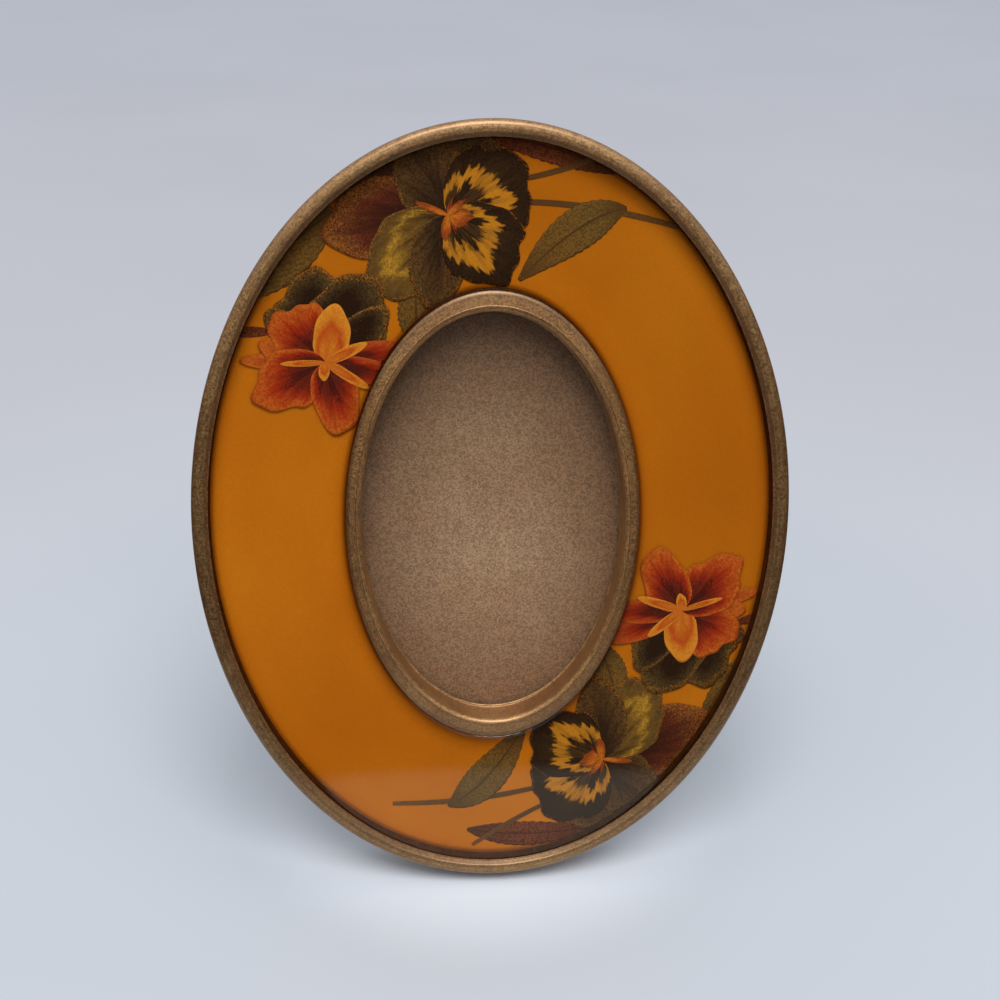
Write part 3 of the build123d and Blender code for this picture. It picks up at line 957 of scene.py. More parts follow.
    def body(self, bronze: bpy.types.Material) -> bpy.types.Object:
        """The swept body, with the notch at the top of the plate's wall and the flat that it stands on.

        Args:
            bronze: its finish.

        Returns:
            The new piece.
        """
        profile, worn = eased_profile(self.corners())
        points = oval_sweep(profile)
        notch_top = self.plate_back + self.notch_depth
        notch_y = self.plate_pocket.up + self.notch_radius / 2
        from_notch = np.hypot(points[..., 0], points[..., 1] - notch_y)
        inside = (from_notch < self.notch_radius) & (points[..., 1] > 0) & (points[..., 2] < notch_top)
        inside &= points[..., 1] < self.plate_pocket.up + self.pocket_wall + self.notch_reach
        points[..., 2] = np.where(inside, notch_top, points[..., 2])
        room = PLACE.world(points).reshape(-1, 3)
        room[:, 2] = np.maximum(room[:, 2], 0.0)
        # The mark named dull is painted shade, set by place round the oval.
        marks = {"worn": np.tile(worn, TURNS), "painted_shade": self.painted_shade_share(profile).ravel()}
        return make_piece("casting_body", room, [wrapped_quads(TURNS, len(profile), True)], bronze, marks=marks)

    def painted_shade_share(self, profile: np.ndarray) -> np.ndarray:
        """How much painted shade each point of the swept body gets: most on the rim's slope and the bezel's shoulder,
        and on the outside, least at the top, where the light from above falls.

        Args:
            profile: points as (half size across, half size up, height).

        Returns:
            Numbers from 0 to 1 of shape (turns, profile points): 1 on the rim's slope, 0.9 on the bezel's shoulder,
            the smaller of 1 - 1.3 sin t and 1.7 + 1.1 sin t, at least 0.45, on the outside, and 1.1 - 1.4 |sin t|,
            from 0 to 0.9, on the rim's face.
        """
        edge = self.rim_inner().across
        outside = np.clip((profile[:, 0] - edge) / self.rim_arris + 1, 0, 1)
        slope = (profile[:, 0] > self.channel().across - 0.01) & (profile[:, 0] < edge + 0.02)
        shoulder = np.abs(profile[:, 0] - self.bezel.across) < self.bezel_edge + 0.05
        height = np.sin(np.arange(TURNS) * (2 * math.pi / TURNS))[:, None]
        face = profile[:, 0] > edge - 0.1
        always = np.maximum(slope * 1.0, shoulder * 0.9)
        outer = outside[None] * np.clip(np.minimum(1 - 1.3 * height, 1.7 + 1.1 * height), 0.45, 1)
        low = np.maximum(outer, face[None] * np.clip(1.1 - 1.4 * np.abs(height), 0, 0.9))
        return np.maximum(always[None], low)

    def on_oval(self, oval: Oval, degrees: float) -> tuple[np.ndarray, np.ndarray]:
        """A point of an oval, (a cos t, b sin t), and the outward direction there, along (cos t / a, sin t / b).

        Args:
            oval: the oval.
            degrees: the angle t.

        Returns:
            The point and the direction.
        """
        a = math.radians(degrees)
        at = np.array([oval.across * math.cos(a), oval.up * math.sin(a)])
        out = np.array([math.cos(a) / oval.across, math.sin(a) / oval.up])
        return at, out / np.linalg.norm(out)

    def boss_places(self) -> list[np.ndarray]:
        """Middles of the four screw bosses."""
        turns = (self.boss_angle, 180 - self.boss_angle, 180 + self.boss_angle, 360 - self.boss_angle)
        return [self.on_oval(self.boss_oval, turn)[0] for turn in turns]

    def ribs(self, bronze: bpy.types.Material) -> bpy.types.Object:
        """The ribs between the plate's wall and the skirt, each a rounded bar swept along its length.

        A bar's section is a superellipse, |x/w|^6 + |z/h|^6 = 1, that shrinks just past both ends.

        Args:
            bronze: their finish.

        Returns:
            The new piece, with all ribs.
        """
        wall = self.plate_pocket.inset(-self.pocket_wall)
        skirt = self.outline.inset(self.skirt_thickness)
        middle = Oval((wall.across + skirt.across) / 2, (wall.up + skirt.up) / 2)
        half_length = (skirt.across - wall.across) / 2 + self.rib_overlap
        low, high = self.plate_back + self.rib_step_down, self.pane_seat + self.rib_sink
        sides, lengths = self.rib_sides, self.rib_lengths
        turn = np.arange(sides) * (2 * math.pi / sides)
        round_x, round_z = (np.sign(f(turn)) * np.abs(f(turn)) ** (1 / 3) for f in (np.cos, np.sin))
        section_x, section_z = round_x * self.rib_thickness / 2, round_z * (high - low) / 2
        run = np.linspace(-half_length, half_length, lengths)
        shrink = np.where(np.abs(run) >= half_length, self.rib_end, 1.0)[:, None]
        height = section_z * shrink + (low + high) / 2
        points, faces, caps = [], [], []
        for number, angle in enumerate(self.rib_angles):
            at, out = self.on_oval(middle, angle)
            aside = np.array([-out[1], out[0]])
            xy = at + run[:, None, None] * out + (section_x * shrink)[..., None] * aside
            points.append(np.concatenate([xy, height[..., None]], -1).reshape(-1, 3))
            start = number * sides * lengths
            faces.append(wrapped_quads(lengths, sides, True, False) + start)
            caps.append(np.stack([np.arange(sides) + start, np.arange(sides)[::-1] + start + (lengths - 1) * sides]))
        room = PLACE.world(np.concatenate(points))
        return make_piece("casting_ribs", room, [np.concatenate(faces), np.concatenate(caps)], bronze)

    def bosses(self, bronze: bpy.types.Material) -> bpy.types.Object:
        """The four bosses that take the screws of the turn buttons, each a ring swept round its own middle.

        Args:
            bronze: their finish.

        Returns:
            The new piece, with all bosses.
        """
        outside, hole = Oval(self.boss_radius, self.boss_radius), Oval(self.boss_hole, self.boss_hole)
        foot = self.pane_seat + self.boss_sink
        ring = [
            Corner(outside, foot, 0.1),
            Corner(hole, foot, 0.05),
            Corner(hole, self.boss_top, 0.08),
            Corner(outside, self.boss_top, 0.25, 0.6),
        ]
        profile, worn = eased_profile(ring)
        turns = self.boss_turns
        rounds = [oval_sweep(profile, turns, tuple(at)).reshape(-1, 3) for at in self.boss_places()]
        faces = wrapped_quads(turns, len(profile), True)
        everything = np.concatenate([faces + turns * len(profile) * k for k in range(len(rounds))])
        marks = {"worn": np.tile(worn, turns * len(rounds))}
        room = PLACE.world(np.concatenate(rounds))
        return make_piece("casting_bosses", room, [everything], bronze, marks=marks)

    def build(self) -> list[bpy.types.Object]:
        """Makes the casting's pieces and hangs them on the frame.

        Returns:
            The new pieces.
        """
        bronze = self.finish.material()
        pieces = [self.body(bronze), self.ribs(bronze), self.bosses(bronze)]
        for piece in pieces:
            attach(piece, "frame")
            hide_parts("frame_casting")
        return pieces


# The printed paper, its pansies and the resin over them


@dataclass(frozen=True)
class Petal:
    """One petal, whose outline is an oval that passes through the flower's middle.

    Attributes:
        ink: name of its ink.
        heading: direction from the flower's middle to the tip, in degrees.
        reach: length in millimetres.
        breadth: width over length; 1 is round.
        ruffle: depth of the waves of the margin, as a share of the reach.
        waves: how many waves the margin has.
        cleft: depth of the notch at the tip, as a share of the reach.
        phase: where the waves start.
    """

    ink: str
    heading: float
    reach: float
    breadth: float
    ruffle: float = 0.03
    waves: float = 5.0
    cleft: float = 0.0
    phase: float = 0.0


@dataclass(frozen=True)
class Leaf:
    """One leaf or stem along a bent line.

    Attributes:
        ink: name of its ink.
        base: where it starts.
        bend: control point of its middle line.
        tip: where it ends.
        half_width: half its width in millimetres.
        belly: how fast it swells from base and tip; a smaller number is fuller.
        teeth: depth of the teeth of its edge, as a share of the width.
        blunt: 0 for pointed ends, 1 for an even width.
    """

    ink: str
    base: tuple[float, float]
    bend: tuple[float, float]
    tip: tuple[float, float]
    half_width: float
    belly: float = 0.8
    teeth: float = 0.0
    blunt: float = 0.0


@dataclass(frozen=True)
class Flower:
    """A pansy: its middle and its petals, from the furthest behind to the nearest."""

    middle: tuple[float, float]
    petals: tuple[Petal, ...]


def petal_grid(petal: Petal, middle: np.ndarray, across: int = 72) -> tuple[np.ndarray, np.ndarray]:
    """Points and UV of a petal.

    With u from -1 to 1 across, v from 0 to 1 along and q = 86 degrees times u, a point is middle + r (cos a, sin a),
    where a = heading + q and r = reach v b^2 cos q / (b^2 cos^2 q + sin^2 q) for a breadth b, which is the oval
    through the middle. For n waves with phase p, r is times 1 + ruffle (v^2 sin(pi n u + p) + 0.4 v^3 sin(2.3 pi n u
    + 2 p)), and for the notch at the tip it is times 1 - cleft v^2 exp(-(u / 0.14)^2).

    Args:
        petal: the petal.
        middle: middle of its flower.
        across: points across it.

    Returns:
        Points of shape (n, 2) in lying millimetres, and their UV places.
    """
    u = np.linspace(-1, 1, across)[:, None]
    v = np.linspace(0, 1, PETAL_ALONG)[None, :]
    aside = np.radians(86.0) * u
    broad = petal.breadth**2
    oval = broad * np.cos(aside) / (broad * np.cos(aside) ** 2 + np.sin(aside) ** 2)
    wave = 1 + petal.ruffle * np.sin(math.pi * petal.waves * u + petal.phase) * v**2
    wave = wave + 0.4 * petal.ruffle * np.sin(math.pi * petal.waves * 2.3 * u + 2 * petal.phase) * v**3
    cleft = 1 - petal.cleft * np.exp(-((u / 0.14) ** 2)) * v**2
    turn = math.radians(petal.heading) + aside
    radius = petal.reach * v * oval * wave * cleft
    points = np.stack([middle[0] + radius * np.cos(turn), middle[1] + radius * np.sin(turn)], -1)
    uv = np.stack(np.broadcast_arrays((u + 1) / 2, v), -1)
    return points.reshape(-1, 2), uv.reshape(-1, 2)


def leaf_grid(leaf: Leaf, across: int = 14) -> tuple[np.ndarray, np.ndarray]:
    """Points and UV of a leaf or stem.

    The middle line is the quadratic curve (1-v)^2 base + 2v(1-v) bend + v^2 tip, and the half width is w (blunt +
    (1 - blunt) sin(pi (0.02 + 0.96 v))^belly), times 1 + teeth sin(90 v) |u| for the teeth along the edge.

    Args:
        leaf: the leaf or stem.
        across: points across it.

    Returns:
        Points of shape (n, 2) in lying millimetres, and their UV places.
    """
    u = np.linspace(-1, 1, across)[:, None, None]
    v = np.linspace(0, 1, LEAF_ALONG)[None, :, None]
    base, bend, tip = (np.array(p)[None, None] for p in (leaf.base, leaf.bend, leaf.tip))
    line = (1 - v) ** 2 * base + 2 * v * (1 - v) * bend + v**2 * tip
    way = 2 * (1 - v) * (bend - base) + 2 * v * (tip - bend)
    way = way / np.linalg.norm(way, axis=-1, keepdims=True)
    aside = np.stack([-way[..., 1], way[..., 0]], -1)
    swell = np.clip(np.sin(math.pi * (0.02 + 0.96 * v)), 0, 1) ** leaf.belly
    width = leaf.half_width * (leaf.blunt + (1 - leaf.blunt) * swell)
    width = width * (1 + leaf.teeth * np.sin(v * 90.0) * np.abs(u))
    points = line + aside * u * width
    uv = np.stack(np.broadcast_arrays((u[..., 0] + 1) / 2, v[..., 0]), -1)
    return points.reshape(-1, 2), uv.reshape(-1, 2)


PURPLE = under_resin(50, 18, 12)
MAROON = under_resin(86, 34, 18)
BROWN = under_resin(80, 46, 20)
OLIVE = under_resin(108, 74, 26)
DARK_OLIVE = under_resin(68, 50, 24)
INK_BLACK = under_resin(32, 16, 8)
YELLOW = under_resin(174, 110, 22)
ORANGE = under_resin(184, 94, 28)
RED = under_resin(140, 36, 10)
DARK_RED = under_resin(82, 16, 10)


class PansyInks:
    """The inks of the print, by name."""

    INKS = (
        Ink("ink_maroon", ((0.0, INK_BLACK), (0.45, PURPLE), (0.75, MAROON), (1.0, under_resin(112, 66, 30))),
            teeth=0.3, vein=INK_BLACK, vein_strength=0.8, vein_count=26.0, vein_end=1.3, dot=PURPLE,
            dot_strength=0.6, dot_start=0.4, margin=MAROON, margin_strength=0.4, fringe=0.4),
        Ink("ink_purple", ((0.0, INK_BLACK), (0.6, under_resin(52, 28, 20)), (1.0, under_resin(78, 44, 24))),
            teeth=0.2, dot=INK_BLACK, dot_strength=0.6, vein=under_resin(38, 22, 16), vein_end=1.2, margin=PURPLE,
            fringe=0.1),
        Ink("ink_upper", ((0.0, INK_BLACK), (0.4, under_resin(52, 36, 20)), (0.7, under_resin(78, 50, 24)),
                          (1.0, under_resin(88, 62, 28))),
            teeth=0.3, vein=INK_BLACK, vein_strength=0.8, vein_count=26.0, vein_end=1.3, dot=INK_BLACK,
            dot_strength=0.6, margin=INK_BLACK, margin_strength=0.6, fringe=0.15),
        Ink("ink_olive", ((0.0, INK_BLACK), (0.25, DARK_OLIVE), (0.5, OLIVE), (0.68, under_resin(168, 122, 34)),
                          (0.8, OLIVE), (1.0, DARK_OLIVE)),
            teeth=0.35, tooth_count=15.0, vein=INK_BLACK, vein_strength=0.8, vein_count=22.0, vein_end=1.2,
            dot=DARK_OLIVE, dot_strength=0.5, margin=DARK_OLIVE, margin_strength=0.6, fringe=0.15),
        Ink("ink_face", ((0.0, ORANGE), (0.14, RED), (0.2, INK_BLACK), (0.42, INK_BLACK), (0.5, YELLOW),
                         (0.68, YELLOW), (0.76, INK_BLACK), (1.0, INK_BLACK)),
            teeth=0.42, tooth_count=17.0, vein=under_resin(72, 50, 22), vein_strength=0.6, vein_count=22.0,
            vein_end=1.1, dot=under_resin(70, 48, 22), dot_strength=0.15, margin=INK_BLACK, fringe=0.06),
        Ink("ink_orange", ((0.0, INK_BLACK), (0.3, under_resin(64, 20, 16)), (0.5, DARK_RED), (0.75, RED),
                           (1.0, under_resin(168, 78, 28))),
            teeth=0.4, tooth_count=22.0, vein=under_resin(56, 20, 14), vein_strength=0.85, vein_count=28.0,
            vein_end=1.0, dot=RED, dot_strength=0.5, dot_start=0.6, margin=RED, margin_strength=0.5, fringe=0.25),
        Ink("ink_rose", ((0.0, INK_BLACK), (0.34, under_resin(60, 14, 10)), (0.52, DARK_RED), (0.72, RED),
                         (0.9, under_resin(172, 76, 20)), (1.0, under_resin(180, 96, 26))),
            teeth=0.4, tooth_count=22.0, vein=under_resin(96, 28, 16), vein_strength=0.85, vein_count=30.0,
            vein_end=1.1, dot=RED, dot_strength=0.7, dot_start=0.5, margin=RED, margin_strength=0.6, fringe=0.25),
        Ink("ink_red", ((0.0, DARK_RED), (0.3, RED), (0.7, under_resin(160, 62, 22)), (1.0, ORANGE)),
            teeth=0.4, tooth_count=22.0, vein=under_resin(84, 22, 14), vein_strength=0.85, vein_count=26.0,
            vein_end=1.1, dot=RED, dot_strength=0.6, dot_start=0.3, margin=RED, margin_strength=0.5, fringe=0.4),
        Ink("ink_lobe", ((0.0, ORANGE), (0.35, under_resin(188, 108, 26)), (0.6, under_resin(168, 66, 18)),
                         (0.82, under_resin(190, 114, 28)), (1.0, under_resin(198, 126, 36))),
            teeth=0.2, tooth_count=9.0, vein=RED, vein_strength=0.4, dot=RED, dot_strength=0.25,
            margin=under_resin(192, 120, 34), fringe=0.05),
        Ink("ink_behind", ((0.0, INK_BLACK), (0.72, INK_BLACK), (0.9, DARK_OLIVE), (1.0, under_resin(96, 68, 28))),
            teeth=0.3, tooth_count=5.0, vein=INK_BLACK, vein_strength=0.3, dot=INK_BLACK, dot_strength=0.75,
            dot_start=0.5, margin=INK_BLACK, margin_strength=0.4, fringe=0.15),
        Ink("ink_leaf", ((0.0, BROWN), (0.3, under_resin(104, 76, 30)), (0.7, OLIVE), (1.0, BROWN)), teeth=0.1,
            vein=under_resin(62, 42, 20), vein_strength=0.3, dot=under_resin(72, 50, 22), dot_strength=0.85,
            dot_start=0.0, margin=DARK_OLIVE, margin_strength=0.7, midrib=0.85, fringe=0.05),
        Ink("ink_red_leaf", ((0.0, BROWN), (0.5, under_resin(116, 56, 26)), (1.0, MAROON)), vein=PURPLE,
            dot=PURPLE, dot_strength=0.7, dot_start=0.0, midrib=0.7, fringe=0.2),
        Ink("ink_stem", ((0.0, BROWN), (1.0, under_resin(104, 64, 26))), vein=DARK_OLIVE, vein_strength=0.6,
            vein_count=8.0, vein_end=1.4, dot=DARK_OLIVE, dot_strength=0.7, dot_start=0.0, margin=DARK_OLIVE,
            fringe=0.1),
        Ink("ink_throat", ((0.0, YELLOW), (0.6, under_resin(170, 92, 24)), (1.0, BROWN)), teeth=0.6, vein=RED, dot=RED,
            dot_strength=0.5, vein_strength=0.5, vein_count=14.0, vein_end=1.4, margin=RED, fringe=0.1),
    )

    def __init__(self) -> None:
        """Makes every ink's material once."""
        self.materials = [ink.material() for ink in self.INKS]
        self.numbers = {ink.name: k for k, ink in enumerate(self.INKS)}


@dataclass
class Spray:
    """One spray of the print: two pansies, leaves and stems, turned and moved as a whole.

    Attributes:
        name: name of the piece.
        turn: how far it is turned about the frame's middle, in degrees.
        shift: how far it is moved after that.
        low: height of its lowest layer.
        layer: how far each petal, leaf or stem lies above the one before it.
        sheet: thickness of the printed film.
        outer: outer edge of the paper.
        inner: inner edge of the paper.
        smallest: faces smaller than this, in square millimetres, are left out.
        greenery: its leaves and stems.
        big: the larger pansy.
        small: the smaller pansy.
    """

    name: str
    turn: float
    shift: tuple[float, float]
    low: float = 6.17
    layer: float = 0.008
    sheet: float = 0.006
    outer: Oval = Oval(37.6, 50.0)
    inner: Oval = Oval(19.85, 31.2)
    smallest: float = 5e-6
    greenery: tuple[Leaf, ...] = (
        Leaf("ink_leaf", (-35.5, 30.0), (-28.0, 35.5), (-20.0, 41.0), 4.2, 0.7, 0.02),
        Leaf("ink_leaf", (-9.2, 23.0), (-10.4, 28.0), (-9.6, 32.4), 2.4, 0.7, 0.04),
        Leaf("ink_leaf", (-17.4, 19.6), (-14.4, 26.4), (-15.4, 31.0), 1.8, 0.7, 0.04),
        Leaf("ink_red_leaf", (-34.2, 25.4), (-31.0, 25.8), (-28.2, 25.6), 0.7, 0.7, 0.04),
        Leaf("ink_red_leaf", (15.6, 45.4), (9.0, 49.0), (-1.5, 50.2), 1.9, 0.8, 0.04),
        Leaf("ink_stem", (3.0, 44.6), (8.0, 45.4), (15.5, 48.0), 0.36, 0.6, 0.0, 0.7),
        Leaf("ink_stem", (3.0, 41.9), (13.0, 41.9), (24.6, 38.4), 0.4, 0.6, 0.0, 0.75),
        Leaf("ink_leaf", (17.2, 41.0), (11.6, 40.4), (3.4, 32.0), 2.7, 0.9, 0.03),
    )
    big: Flower = Flower(
        (-5.7, 40.3),
        (
            Petal("ink_upper", 62, 11.0, 1.1, 0.03, 3, phase=1.4),
            Petal("ink_purple", 148, 13.6, 0.95, 0.03, 3, phase=1.0),
            Petal("ink_maroon", 184, 15.8, 0.66, 0.05, 4),
            Petal("ink_upper", 114, 10.2, 0.95, 0.04, 3, phase=0.5),
            Petal("ink_olive", 227, 13.8, 0.78, 0.05, 4, cleft=0.05, phase=2.0),
            Petal("ink_upper", 257, 12.0, 0.62, 0.05, 3, phase=0.4),
            Petal("ink_face", 28, 11.8, 1.0, 0.05, 4, cleft=0.05, phase=0.6),
            Petal("ink_face", -40, 11.6, 0.9, 0.06, 4, cleft=0.06, phase=2.6),
            Petal("ink_throat", -12, 3.0, 0.8, 0.1, 3),
            Petal("ink_throat", 158, 4.4, 0.2),
            Petal("ink_throat", 40, 2.6, 0.4),
            Petal("ink_throat", 262, 3.2, 0.4),
        ),
    )
    small: Flower = Flower(
        (-21.7, 21.6),
        (
            Petal("ink_behind", 93, 11.8, 1.05, 0.05, 4, phase=0.8),
            Petal("ink_behind", 62, 12.2, 0.85, 0.05, 3, phase=1.6),
            Petal("ink_behind", 138, 9.6, 0.5, 0.04, 2, phase=0.9),
            Petal("ink_behind", 38, 10.4, 0.5, 0.05, 3, phase=0.3),
            Petal("ink_orange", 6, 11.0, 0.38, 0.04, 3),
            Petal("ink_orange", -14, 10.4, 0.34, 0.04, 3, phase=1.0),
            Petal("ink_red", 178, 11.2, 0.2, 0.03, 3),
            Petal("ink_red", 164, 8.8, 0.5, 0.05, 4, cleft=0.03, phase=1.2),
            Petal("ink_rose", 131, 9.0, 0.95, 0.06, 4, cleft=0.05, phase=0.4),
            Petal("ink_lobe", 76, 7.4, 0.66, 0.05, 3, phase=0.6),
            Petal("ink_rose", 206, 10.6, 0.74, 0.07, 4, cleft=0.04, phase=0.9),
            Petal("ink_rose", 284, 9.8, 0.66, 0.06, 3, cleft=0.05, phase=2.2),
            Petal("ink_lobe", -33, 6.6, 0.2, 0.03, 3),
            Petal("ink_lobe", 24, 6.0, 0.24, 0.03, 3),
            Petal("ink_lobe", 181, 6.0, 0.14, 0.03, 3),
            Petal("ink_lobe", 258, 2.4, 0.6, 0.05, 3),
        ),
    )

    def placed(self, points: np.ndarray) -> np.ndarray:
        """Turns the spray's points about the frame's middle and moves them.

        Args:
            points: points of shape (n, 2).

        Returns:
            The points in their places.
        """
        a = math.radians(self.turn)
        basis = np.array([[math.cos(a), math.sin(a)], [-math.sin(a), math.cos(a)]])
        return points @ basis + np.array(self.shift)

    def patches(self) -> list[tuple[str, np.ndarray, np.ndarray, int]]:
        """Lists every leaf, stem and petal, from the lowest layer up.

        Returns:
            For each its ink, its points, their UV places and its count of points along.
        """
        made = [(leaf.ink, *leaf_grid(leaf), LEAF_ALONG) for leaf in self.greenery]
        for flower in (self.big, self.small):
            middle = np.array(flower.middle)
            made += [(petal.ink, *petal_grid(petal, middle), PETAL_ALONG) for petal in flower.petals]
        return made

    def trimmed(self, points: np.ndarray) -> tuple[np.ndarray, np.ndarray]:
        """Draws points outside the paper in to its edge.

        Args:
            points: points of shape (n, 2).

        Returns:
            The points, and on which side each was: -1 inside the window, 0 on the paper, 1 outside it.
        """
        far = np.hypot(points[:, 0] / self.outer.across, points[:, 1] / self.outer.up)
        near = np.hypot(points[:, 0] / self.inner.across, points[:, 1] / self.inner.up)
        scale = np.where(far > 1, 1 / far, np.where(near < 1, 1 / np.maximum(near, 1e-6), 1.0))
        side = np.where(far > 1, 1, np.where(near < 1, -1, 0))
        return points * scale[:, None], side

    def build(self, inks: PansyInks) -> bpy.types.Object:
        """Joins the patches into one printed film that lies on the paper, trimmed to its edges.

        Args:
            inks: the inks of the print.

        Returns:
            The new piece.
        """
        places, maps, faces, numbers = [], [], [], []
        start = 0
        for layer, (ink, flat, uv, along) in enumerate(self.patches()):
            points, side = self.trimmed(self.placed(flat))
            quads = wrapped_quads(len(points) // along, along, False, False)
            quads = quads[np.abs(side[quads].sum(1)) < 4]
            spread = points[quads]
            area = np.abs(np.cross(spread[:, 2] - spread[:, 0], spread[:, 3] - spread[:, 1])) / 2
            quads = quads[area > self.smallest]
            used, renumbered = np.unique(quads, return_inverse=True)
            height = np.full((len(used), 1), self.low + layer * self.layer)
            places.append(np.concatenate([points[used], height], 1))
            maps.append(uv[used])
            faces.append(renumbered.reshape(-1, 4) + start)
            numbers.append(np.full(len(quads), inks.numbers[ink]))
            start += len(used)
        piece = make_piece(
            self.name,
            PLACE.world(np.concatenate(places)),
            [np.concatenate(faces)],
            inks.materials,
            uv=np.concatenate(maps),
            ink=np.concatenate(numbers),
        )
        film = piece.modifiers.new("film", "SOLIDIFY")
        film.thickness, film.offset = self.sheet * MM, 0.0
        return piece


@dataclass
class PrintAndResin:
    """The paper ring on the channel's floor, its two sprays and the resin poured over them.

    Attributes:
        channel: outer wall of the channel.
        bezel: inner wall of the channel.
        floor: height of the channel's floor.
        paper: thickness of the paper.
        margin: gap between the paper and each wall.
        paper_steps: points across the paper.
        resin_top: height of the resin away from the metal.
        resin_sink: how deep the resin's lower side lies in the paper, as a share of the paper.
        resin_steps: distances from the metal of the points across the resin, up to its middle.
        creep: how far the resin creeps up the metal.
        creep_width: how far from the metal the creep reaches.
    """

    channel: Oval
    bezel: Oval
    floor: float = 6.0
    paper: float = 0.15
    margin: float = 0.05
    paper_steps: int = 25
    resin_top: float = 8.1
    resin_sink: float = 0.4
    resin_steps: tuple[float, ...] = (0.0, 0.06, 0.13, 0.22, 0.34, 0.5, 0.75, 1.1, 1.6, 2.2, 3.0, 4.0, 5.5)
    creep: float = 0.05
    creep_width: float = 0.22

    def ring(
        self, name: str, top: np.ndarray, low: float, reach: np.ndarray, material: bpy.types.Material
    ) -> bpy.types.Object:
        """A ring with a flat lower side, swept round the channel, with the mark named reach.

        Args:
            name: name of the piece.
            top: its upper side as (half size across, half size up, height), from the outside in.
            low: height of its lower side.
            reach: distance of each point of the upper side from the nearer wall.
            material: its finish.

        Returns:
            The new piece.
        """
        bottom = top[[-1, 0]] * (1, 1, 0) + (0, 0, low)
        profile = np.concatenate([top, bottom])
        marks = {"reach": np.tile(np.concatenate([reach, [0.0, 0.0]]), TURNS)}
        points = PLACE.world(oval_sweep(profile)).reshape(-1, 3)
        return make_piece(name, points, [wrapped_quads(TURNS, len(profile), True)], material, marks=marks)

    def ground(self) -> bpy.types.Object:
        """The paper, plain and slightly cloudy.

        Returns:
            The new piece.
        """
        outer, inner = self.channel.inset(self.margin), self.bezel.inset(-self.margin)
        share = np.linspace(0, 1, self.paper_steps)[:, None]
        across = np.array([outer.across, outer.up]) * (1 - share) + np.array([inner.across, inner.up]) * share
        top = np.concatenate([across, np.full_like(share, self.floor + self.paper)], 1)
        reach = np.minimum(share[:, 0], 1 - share[:, 0]) * (outer.across - inner.across)
        return self.ring("print_ground", top, self.floor, reach, PrintedGround().material())

    def resin(self) -> bpy.types.Object:
        """The resin, whose surface creeps up by c exp(-d/w) at a distance d from the metal on each side.

        Returns:
            The new piece.
        """
        span = (self.channel.across - self.bezel.across, self.channel.up - self.bezel.up)
        steps = np.array(self.resin_steps)
        share = np.concatenate([steps / span[0], [0.5], 1 - steps[::-1] / span[0]])
        from_rim = share * span[0]
        reach = np.minimum(from_rim, span[0] - from_rim)
        height = self.resin_top + self.creep * np.exp(-reach / self.creep_width)
        top = np.stack([self.channel.across - share * span[0], self.channel.up - share * span[1], height], -1)
        low = self.floor + self.paper * self.resin_sink
        return self.ring("resin_pour", top, low, reach, AmberResin().material())

    def build(self) -> list[bpy.types.Object]:
        """Makes paper, sprays and resin and hangs them on the frame.

        Returns:
            The new pieces.
        """
        inks = PansyInks()
        ground = self.ground()
        sprays = [
            Spray("print_upper_spray", 0.0, (0.0, 0.0)).build(inks),
            Spray("print_lower_spray", 195.0, (-0.4, 1.7)).build(inks),
        ]
        resin = self.resin()
        for piece in (ground, *sprays):
            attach(piece, "frame")
            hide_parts("print_ring")
        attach(resin, "frame")
        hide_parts("resin_inlay")
        return [ground, *sprays, resin]


# The window and the back


@dataclass
class Window:
    """The pane and the card behind it.

    Attributes:
        pane: outline of the pane.
        card: outline of the card.
        card_back: height of the card's back.
        card_front: height of the card's front.
        gap: air between card and pane.
        pane_front: height of the pane's front.
        pane_edge: rounding of the pane's edge.
    """

    pane: Oval = Oval(20.35, 30.55)
    card: Oval = Oval(20.2, 30.4)
    card_back: float = 3.1
    card_front: float = 3.4
    gap: float = 0.005
    pane_front: float = 4.4
    pane_edge: float = 0.18

    def build(self) -> list[bpy.types.Object]:
        """Makes both and hangs them on the frame.

        Returns:
            The new pieces.
        """
        point = Oval(0.0, 0.0)
        pane_back = self.card_front + self.gap
        pane_profile = [
            Corner(point, pane_back),
            Corner(self.pane, pane_back, self.pane_edge),
            Corner(self.pane, self.pane_front, self.pane_edge),
            Corner(point, self.pane_front),
        ]
        card_profile = [
            Corner(point, self.card_back),
            Corner(self.card, self.card_back, 0.05),
            Corner(self.card, self.card_front, 0.08),
            Corner(point, self.card_front),
        ]
        pane = disc_piece("window_glass", pane_profile, ClearGlass().material())
        card = disc_piece("bronze_card", card_profile, CoatedCard().material())
        for piece, node, slot in ((pane, "window_pane", "clear_glass"), (card, "backing_card", "bronze_card")):
            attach(piece, "frame")
            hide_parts(node)
        return [pane, card]


